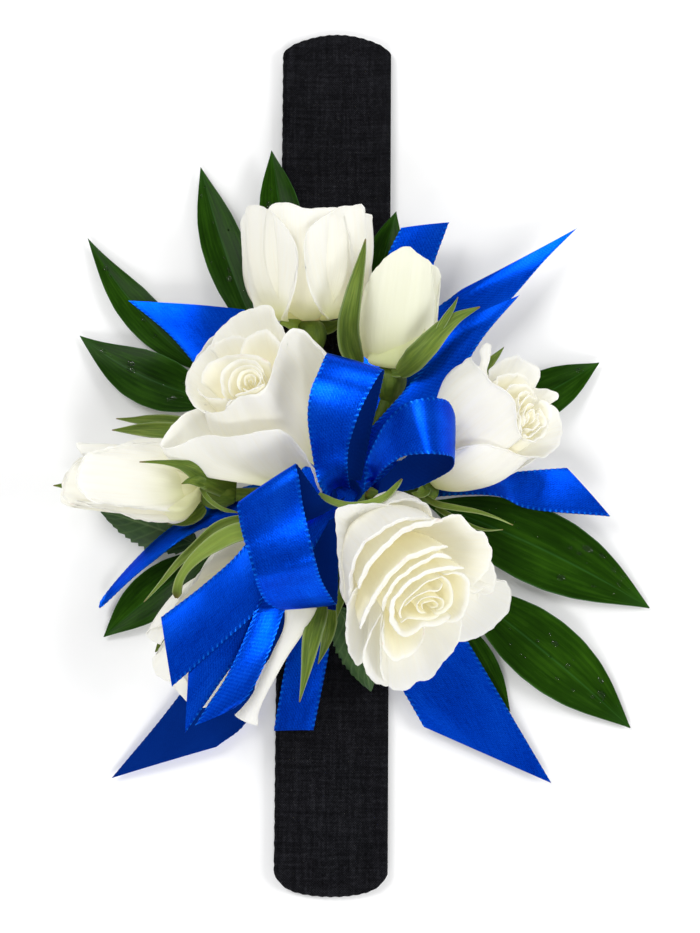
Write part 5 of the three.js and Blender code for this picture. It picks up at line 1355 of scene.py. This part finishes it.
def strip_blade(pts, half, profile, fold=0.25, up=(0, 0, 1), rows=34, cols=9, twist=0.0, cup=0.0):
    """A narrow blade along a line of points; up says which way its face looks."""
    pts = np.asarray(pts, float)
    k = np.concatenate([[0], np.cumsum(np.linalg.norm(np.diff(pts, axis=0), axis=1) ** 0.5)])
    line = spline(pts, k, np.linspace(0, k[-1], rows))
    tan = np.gradient(line, axis=0)
    t = np.linspace(0, 1, rows)
    w = half * np.interp(t, *profile)
    us = np.linspace(-1, 1, cols)
    P = np.zeros((rows, cols, 3))
    for i in range(rows):
        tg = unit(tan[i])
        s0 = unit(np.cross(tg, up))
        n0 = unit(np.cross(s0, tg))
        a = twist * t[i]
        s1, n1 = s0 * math.cos(a) + n0 * math.sin(a), -s0 * math.sin(a) + n0 * math.cos(a)
        for j, u in enumerate(us):
            P[i, j] = line[i] + s1 * (u * w[i]) + n1 * (fold * abs(u) ** 1.4 - cup * u * u) * w[i]
    return P, np.stack(np.meshgrid(us, t), axis=2)


BLADE = ([0, 0.06, 0.2, 0.4, 0.6, 0.8, 0.93, 1.0], [0.55, 0.8, 1.0, 0.92, 0.66, 0.34, 0.14, 0.04])
SPOON = ([0, 0.1, 0.3, 0.5, 0.7, 0.86, 0.95, 1.0], [0.8, 1.0, 0.95, 0.66, 0.44, 0.46, 0.50, 0.16])
THREAD = ([0, 0.2, 0.8, 1.0], [1.0, 0.9, 0.7, 0.2])
# picture points with heights, half width, shape, paleness, fold, twist
SEPALS = {
    "rose_bud_top": [
        ([(357, 366, 23), (350, 346, 29), (348.5, 325, 33), (352.5, 300, 35.5), (358, 275, 35.5), (363, 253, 33.5), (365.5, 239, 31.5)], 2.9, BLADE, 0.35, 0.45, 0.0),
        ([(398, 373, 29), (412, 360, 34.5), (428, 344, 36.5), (444, 327, 36.5), (458, 316.5, 36), (470, 311, 36), (480, 307, 36.5)], 3.1, BLADE, 0.55, -0.35, 0.0),
        ([(437, 333, 36), (446, 318, 36.5), (453, 307, 36), (458, 297, 35)], 1.0, BLADE, 0.5, 0.3, 0.0),
        ([(392, 372, 24), (408, 366, 26), (424, 352, 26), (436, 340, 24)], 2.2, BLADE, 0.4, 0.3, 0.0),
    ],
    "rose_bud_left": [
        ([(236, 488, 15), (219, 481, 20), (204, 474.5, 24.6), (191, 468, 27.4), (177, 463.8, 28.6), (158, 462, 29), (139.5, 462, 29)], 3.5, ([0, 0.12, 0.28, 0.40, 0.52, 0.64, 0.78, 0.9, 1.0], [0.9, 1.0, 1.0, 0.90, 0.60, 0.34, 0.16, 0.09, 0.03]), 0.0, -0.3, 0.0),
        ([(206, 483, 24), (197, 480.5, 26), (189, 481, 26.6), (181.5, 484, 26.6)], 1.5, BLADE, 0.0, -0.3, 0.0),
        ([(202, 488, 21), (206, 496, 23), (213, 503, 24.5), (224, 509.5, 25), (238, 512.5, 25)], 0.7, THREAD, 0.6, 0.2, 0.0),
        ([(112, 490, 2.2), (92, 489.5, 3.0), (76, 488, 4.6), (64, 486, 6.4), (53.5, 485.5, 8.0)], 2.0, BLADE, 0.0, 0.3, 0.0),
        ([(208, 470, 14), (190, 452, 13), (170, 441, 11)], 2.6, BLADE, 0.3, 0.3, 0.0),
        ([(204, 505, 13), (186, 518, 11), (168, 524, 8)], 2.6, BLADE, 0.3, 0.3, 0.0),
    ],
    "rose_upper_left": [
        ([(196, 428, 14), (176, 423, 13), (150, 420.5, 12), (132, 420, 11.5), (116, 418.5, 11)], 1.9, BLADE, 0.55, 0.3, 0.0),
        ([(192, 434, 14), (165, 431, 13.5), (140, 430, 12.5), (125, 430, 12), (112, 430, 11.5)], 2.3, BLADE, 0.55, 0.3, 0.0),
        ([(318, 498, 18), (300, 497, 20), (280, 492, 22), (262, 494, 22)], 2.4, BLADE, 0.4, 0.3, 0.0),
        ([(325, 485, 15), (335, 460, 16), (332, 430, 16)], 2.4, BLADE, 0.3, 0.3, 0.0),
    ],
    "rose_lower_left": [
        ([(246, 519, 26), (232, 522, 27), (216, 529, 27), (197, 546, 26), (180, 561, 24.5), (160, 584, 21), (144, 602, 18)], 1.5, BLADE, 0.7, 0.4, 0.3),
        ([(247, 531, 27), (234, 534, 28.5), (216, 543, 29), (198, 556, 28.5), (186, 569, 27.5), (179, 582, 26), (176.5, 598, 24)], 2.4, SPOON, 0.85, 0.45, 0.0),
        ([(322, 606, 26), (316, 622, 27), (311, 642, 26), (306.5, 668, 22.5), (299.5, 702, 18)], 2.5, BLADE, 0.25, 0.4, 0.0),
        ([(332, 610, 22), (329, 630, 22), (324, 648, 20), (318, 664, 17.5)], 1.7, BLADE, 0.3, 0.35, 0.0),
        ([(170, 641, 14), (162, 645, 13.5), (155, 652, 13)], 1.6, BLADE, 0.5, 0.3, 0.0),
    ],
    "rose_right": [
        ([(421, 494, 18), (436, 504, 21), (455, 508, 22), (478, 512, 21.5), (497, 518, 20), (513, 525, 18)], 0.85, BLADE, 0.75, 0.5, 0.5),
        ([(436, 508, 18), (452, 517, 20), (468, 525, 20), (486, 530, 19.5), (503, 529.5, 18.5)], 0.75, BLADE, 0.45, 0.4, 0.4),
        ([(478, 384, 24), (490, 363, 27), (498, 354, 27), (504, 347, 26)], 1.3, BLADE, 0.3, 0.3, 0.0),
        ([(478, 482, 13), (496, 470, 13), (514, 464.5, 12), (528, 464, 10)], 1.6, BLADE, 0.3, 0.3, 0.0),
        ([(427, 488, 19), (419, 494, 21), (411, 493, 21)], 1.6, BLADE, 0.6, 0.3, 0.0),
    ],
    "rose_front": [
        ([(319, 494, 36), (334, 502, 39.5), (351, 506, 41.5), (368, 504, 42.5), (384, 498, 42), (395, 488, 41), (402, 479, 40)], 1.0, ([0, 0.1, 0.4, 0.7, 0.9, 1.0], [0.5, 0.8, 1.0, 1.0, 0.7, 0.2]), 0.85, 0.3, 0.6),
        ([(352, 542, 32), (346, 546, 34.5), (342.5, 552, 35.5), (342, 559, 35)], 1.1, BLADE, 0.7, 0.3, 0.0),
        ([(362, 545, 14), (352, 575, 15), (342, 596, 15), (336, 620, 14)], 2.4, BLADE, 0.3, 0.3, 0.0),
        ([(385, 550, 11), (410, 585, 11), (430, 615, 10)], 2.6, BLADE, 0.3, 0.3, 0.0),
    ],
    "rose_top": [
        ([(312, 328, 13), (330, 327, 11), (346, 318, 8)], 2.0, BLADE, 0.3, 0.3, 0.0),
        ([(303, 327, 17), (293, 325, 20), (284, 323, 21), (277, 327, 20)], 1.7, BLADE, 0.9, 0.3, 0.0),
        ([(310, 324, 11), (300, 306, 7), (290, 290, 5)], 2.4, BLADE, 0.3, 0.3, 0.0),
    ],
}


def make_calyces(M):
    for ci, (name, (base, top)) in enumerate(ROSES.items()):
        base, top = np.asarray(base, float), np.asarray(top, float)
        ax = unit(top - base)
        b = Build()
        turned(b, base, ax, [(1.7, -8.6), (2.3, -8.0), (3.3, -6.4), (4.0, -4.4), (4.15, -2.8), (3.8, -1.2), (3.2, -0.3), (2.2, 0.3)], uvq=(0.2, ci * 0.11), lobes=0.02)
        start = base - ax * 7.6
        away = np.array([start[0] - HUB[0], start[1] - HUB[1], 0.0])
        dist = np.linalg.norm(away)
        if dist > 10:
            away /= dist
            end = HUB + away * 6.4
            end[2] = min(start[2], 20.0)
            mid = (base - ax * 11) * 0.7 + end * 0.3
            rod(b, [start, mid, end], 1.75, 12, (0.2, ci * 0.11 + 0.05), n=16)
        for k, (pts, half, prof, pale, fold, twist) in enumerate(SEPALS[name]):
            P, uv = strip_blade([at(*q) for q in pts], half, prof, fold, twist=twist)
            b.grid(P, uv, 0.3, np.stack([np.full(uv.shape[:2], pale), np.full(uv.shape[:2], (k * 0.37 + ci * 0.21) % 1.0)], axis=2))
        ob = b.make("calyx_" + name + "_green", M["calyx"])
        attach(ob, ROOT)
        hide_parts("calyx_" + name)


# --------------------------------------------------------------------------
# middle: pad, stem bundle, bow tie
# --------------------------------------------------------------------------
def make_middle(M):
    # felt pad: rounded corners, crowned a little
    n, m = 26, 18
    P = np.zeros((n, m, 3))
    UV = np.zeros((n, m, 2))
    for i, a in enumerate(np.linspace(-1, 1, n)):
        for j, c in enumerate(np.linspace(-1, 1, m)):
            k = (abs(a) ** 8 + abs(c) ** 8) ** (1 / 8) / max(abs(a), abs(c), 1e-6)
            P[i, j] = (c * 8.0 / max(k, 1e-6) ** 0.9, -1.0 + a * 18.0 / max(k, 1e-6) ** 0.9, 3.2 + 0.12 * math.sin(3 * a + 2 * c) * 0.5)
            UV[i, j] = (c * 8, a * 18)
    b = Build()
    b.grid(P, UV, 1.5)
    pad = b.make("felt_pad", M["felt"])
    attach(pad, ROOT)
    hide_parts("base_pad")
    # taped bundle of stems, wound in overlapping turns
    b = Build()
    rz = []
    for i in range(40):
        t = i / 39
        z = 9.8 + 16.5 * t
        r = 7.1 - 1.3 * t + 0.22 * math.sin(t * 34)
        rz.append((r, z - 9.8))
    rz = [(rz[0][0] - 1.0, -0.1)] + rz + [(rz[-1][0] - 1.2, 16.7)]
    turned(b, np.array([HUB[0], HUB[1], 9.8]), np.array([0, 0, 1.0]), rz, 30, lobes=0.04)
    hub = b.make("taped_stems", M["tape"])
    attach(hub, ROOT)
    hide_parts("stem_bundle")
    # the tie: ribbon gathered into pleats round the middle of the bow
    n, m = 14, 36
    P = np.zeros((n, m, 3))
    UV = np.zeros((n, m, 2))
    UV2 = np.zeros((n, m, 2))
    for i in range(n):
        t = i / (n - 1)
        for j in range(m):
            a = 2 * math.pi * j / m
            r = 2.75 + 0.55 * t ** 3 - 0.35 * math.sin(math.pi * t) + 0.22 * math.sin(a * 5 + t * 2) + 0.10 * math.sin(a * 11)
            P[i, j] = (3.4 + 1.12 * r * math.cos(a), -15.4 + r * math.sin(a), 26.8 + 6.2 * t + 0.5 * math.sin(a * 2 + 0.6) * t)
            UV[i, j] = (a * 2.3, (t - 0.5) * 5)
            # the whole tie counts as dull face: darker dull colour and the satin's painted glow
            UV2[i, j] = (1.0, (0.5 - abs(t - 0.5)) * 5)
    b = Build()
    b.grid(P[::-1], UV, 0.3, UV2, wrap=True)
    tie = b.make("bow_knot", M["satin"])
    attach(tie, ROOT)
    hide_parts("bow_tie")


# --------------------------------------------------------------------------
# stage
# --------------------------------------------------------------------------
def area(name, loc, target, size, watts, color=(1, 1, 1)):
    li = bpy.data.lights.new(name, "AREA")
    li.shape = "SQUARE"
    li.size = size
    li.energy = watts
    li.color = color
    ob = bpy.data.objects.new(name, li)
    scene.collection.objects.link(ob)
    ob.location = loc
    d = Vector(target) - Vector(loc)
    ob.rotation_euler = d.to_track_quat("-Z", "Y").to_euler()


def make_stage(M):
    me = bpy.data.meshes.new("floor")
    s = 3.0
    n = 12
    vs = [(-s + 2 * s * i / n, -s + 2 * s * j / n, -0.0002) for i in range(n + 1) for j in range(n + 1)]
    fs = [(i * (n + 1) + j, (i + 1) * (n + 1) + j, (i + 1) * (n + 1) + j + 1, i * (n + 1) + j + 1) for i in range(n) for j in range(n)]
    me.from_pydata(vs, [], fs)
    me.materials.append(M["floor"])
    ob = bpy.data.objects.new("floor", me)
    scene.collection.objects.link(ob)
    w = bpy.data.worlds.new("studio")
    w.use_nodes = True
    bg = w.node_tree.nodes["Background"]
    bg.inputs[0].default_value = (1.0, 1.0, 1.0, 1.0)
    bg.inputs[1].default_value = 0.36
    scene.world = w
    area("key", (-0.55, 0.34, 1.00), (0, 0, 0.01), 0.45, 5.0)
    area("back", (0.10, 1.00, 0.62), (0, 0, 0.01), 0.40, 2.3)
    area("fill", (0.88, -0.05, 0.75), (0, 0, 0.01), 0.45, 4.8)
    area("front", (-0.02, -0.95, 0.80), (0, 0, 0.01), 0.40, 5.6)
    scene.view_settings.view_transform = "Standard"
    scene.view_settings.look = "None"


# --------------------------------------------------------------------------
make_camera()
M = dict(sleeve=mat_sleeve(), steel=mat_steel(), satin=mat_satin(), petal=mat_petal(), bud_petal=mat_petal("young_rose_petal", 0.34), ruscus=mat_ruscus(), rose_leaf=mat_rose_leaf(),
         calyx=mat_calyx(), tape=mat_tape(), felt=mat_felt(), water=mat_water(), floor=mat_floor())
make_stage(M)
make_band(M)
make_middle(M)
make_ribbons(M)
make_leaves(M)
make_drops(M)
make_roses(M)
make_calyces(M)
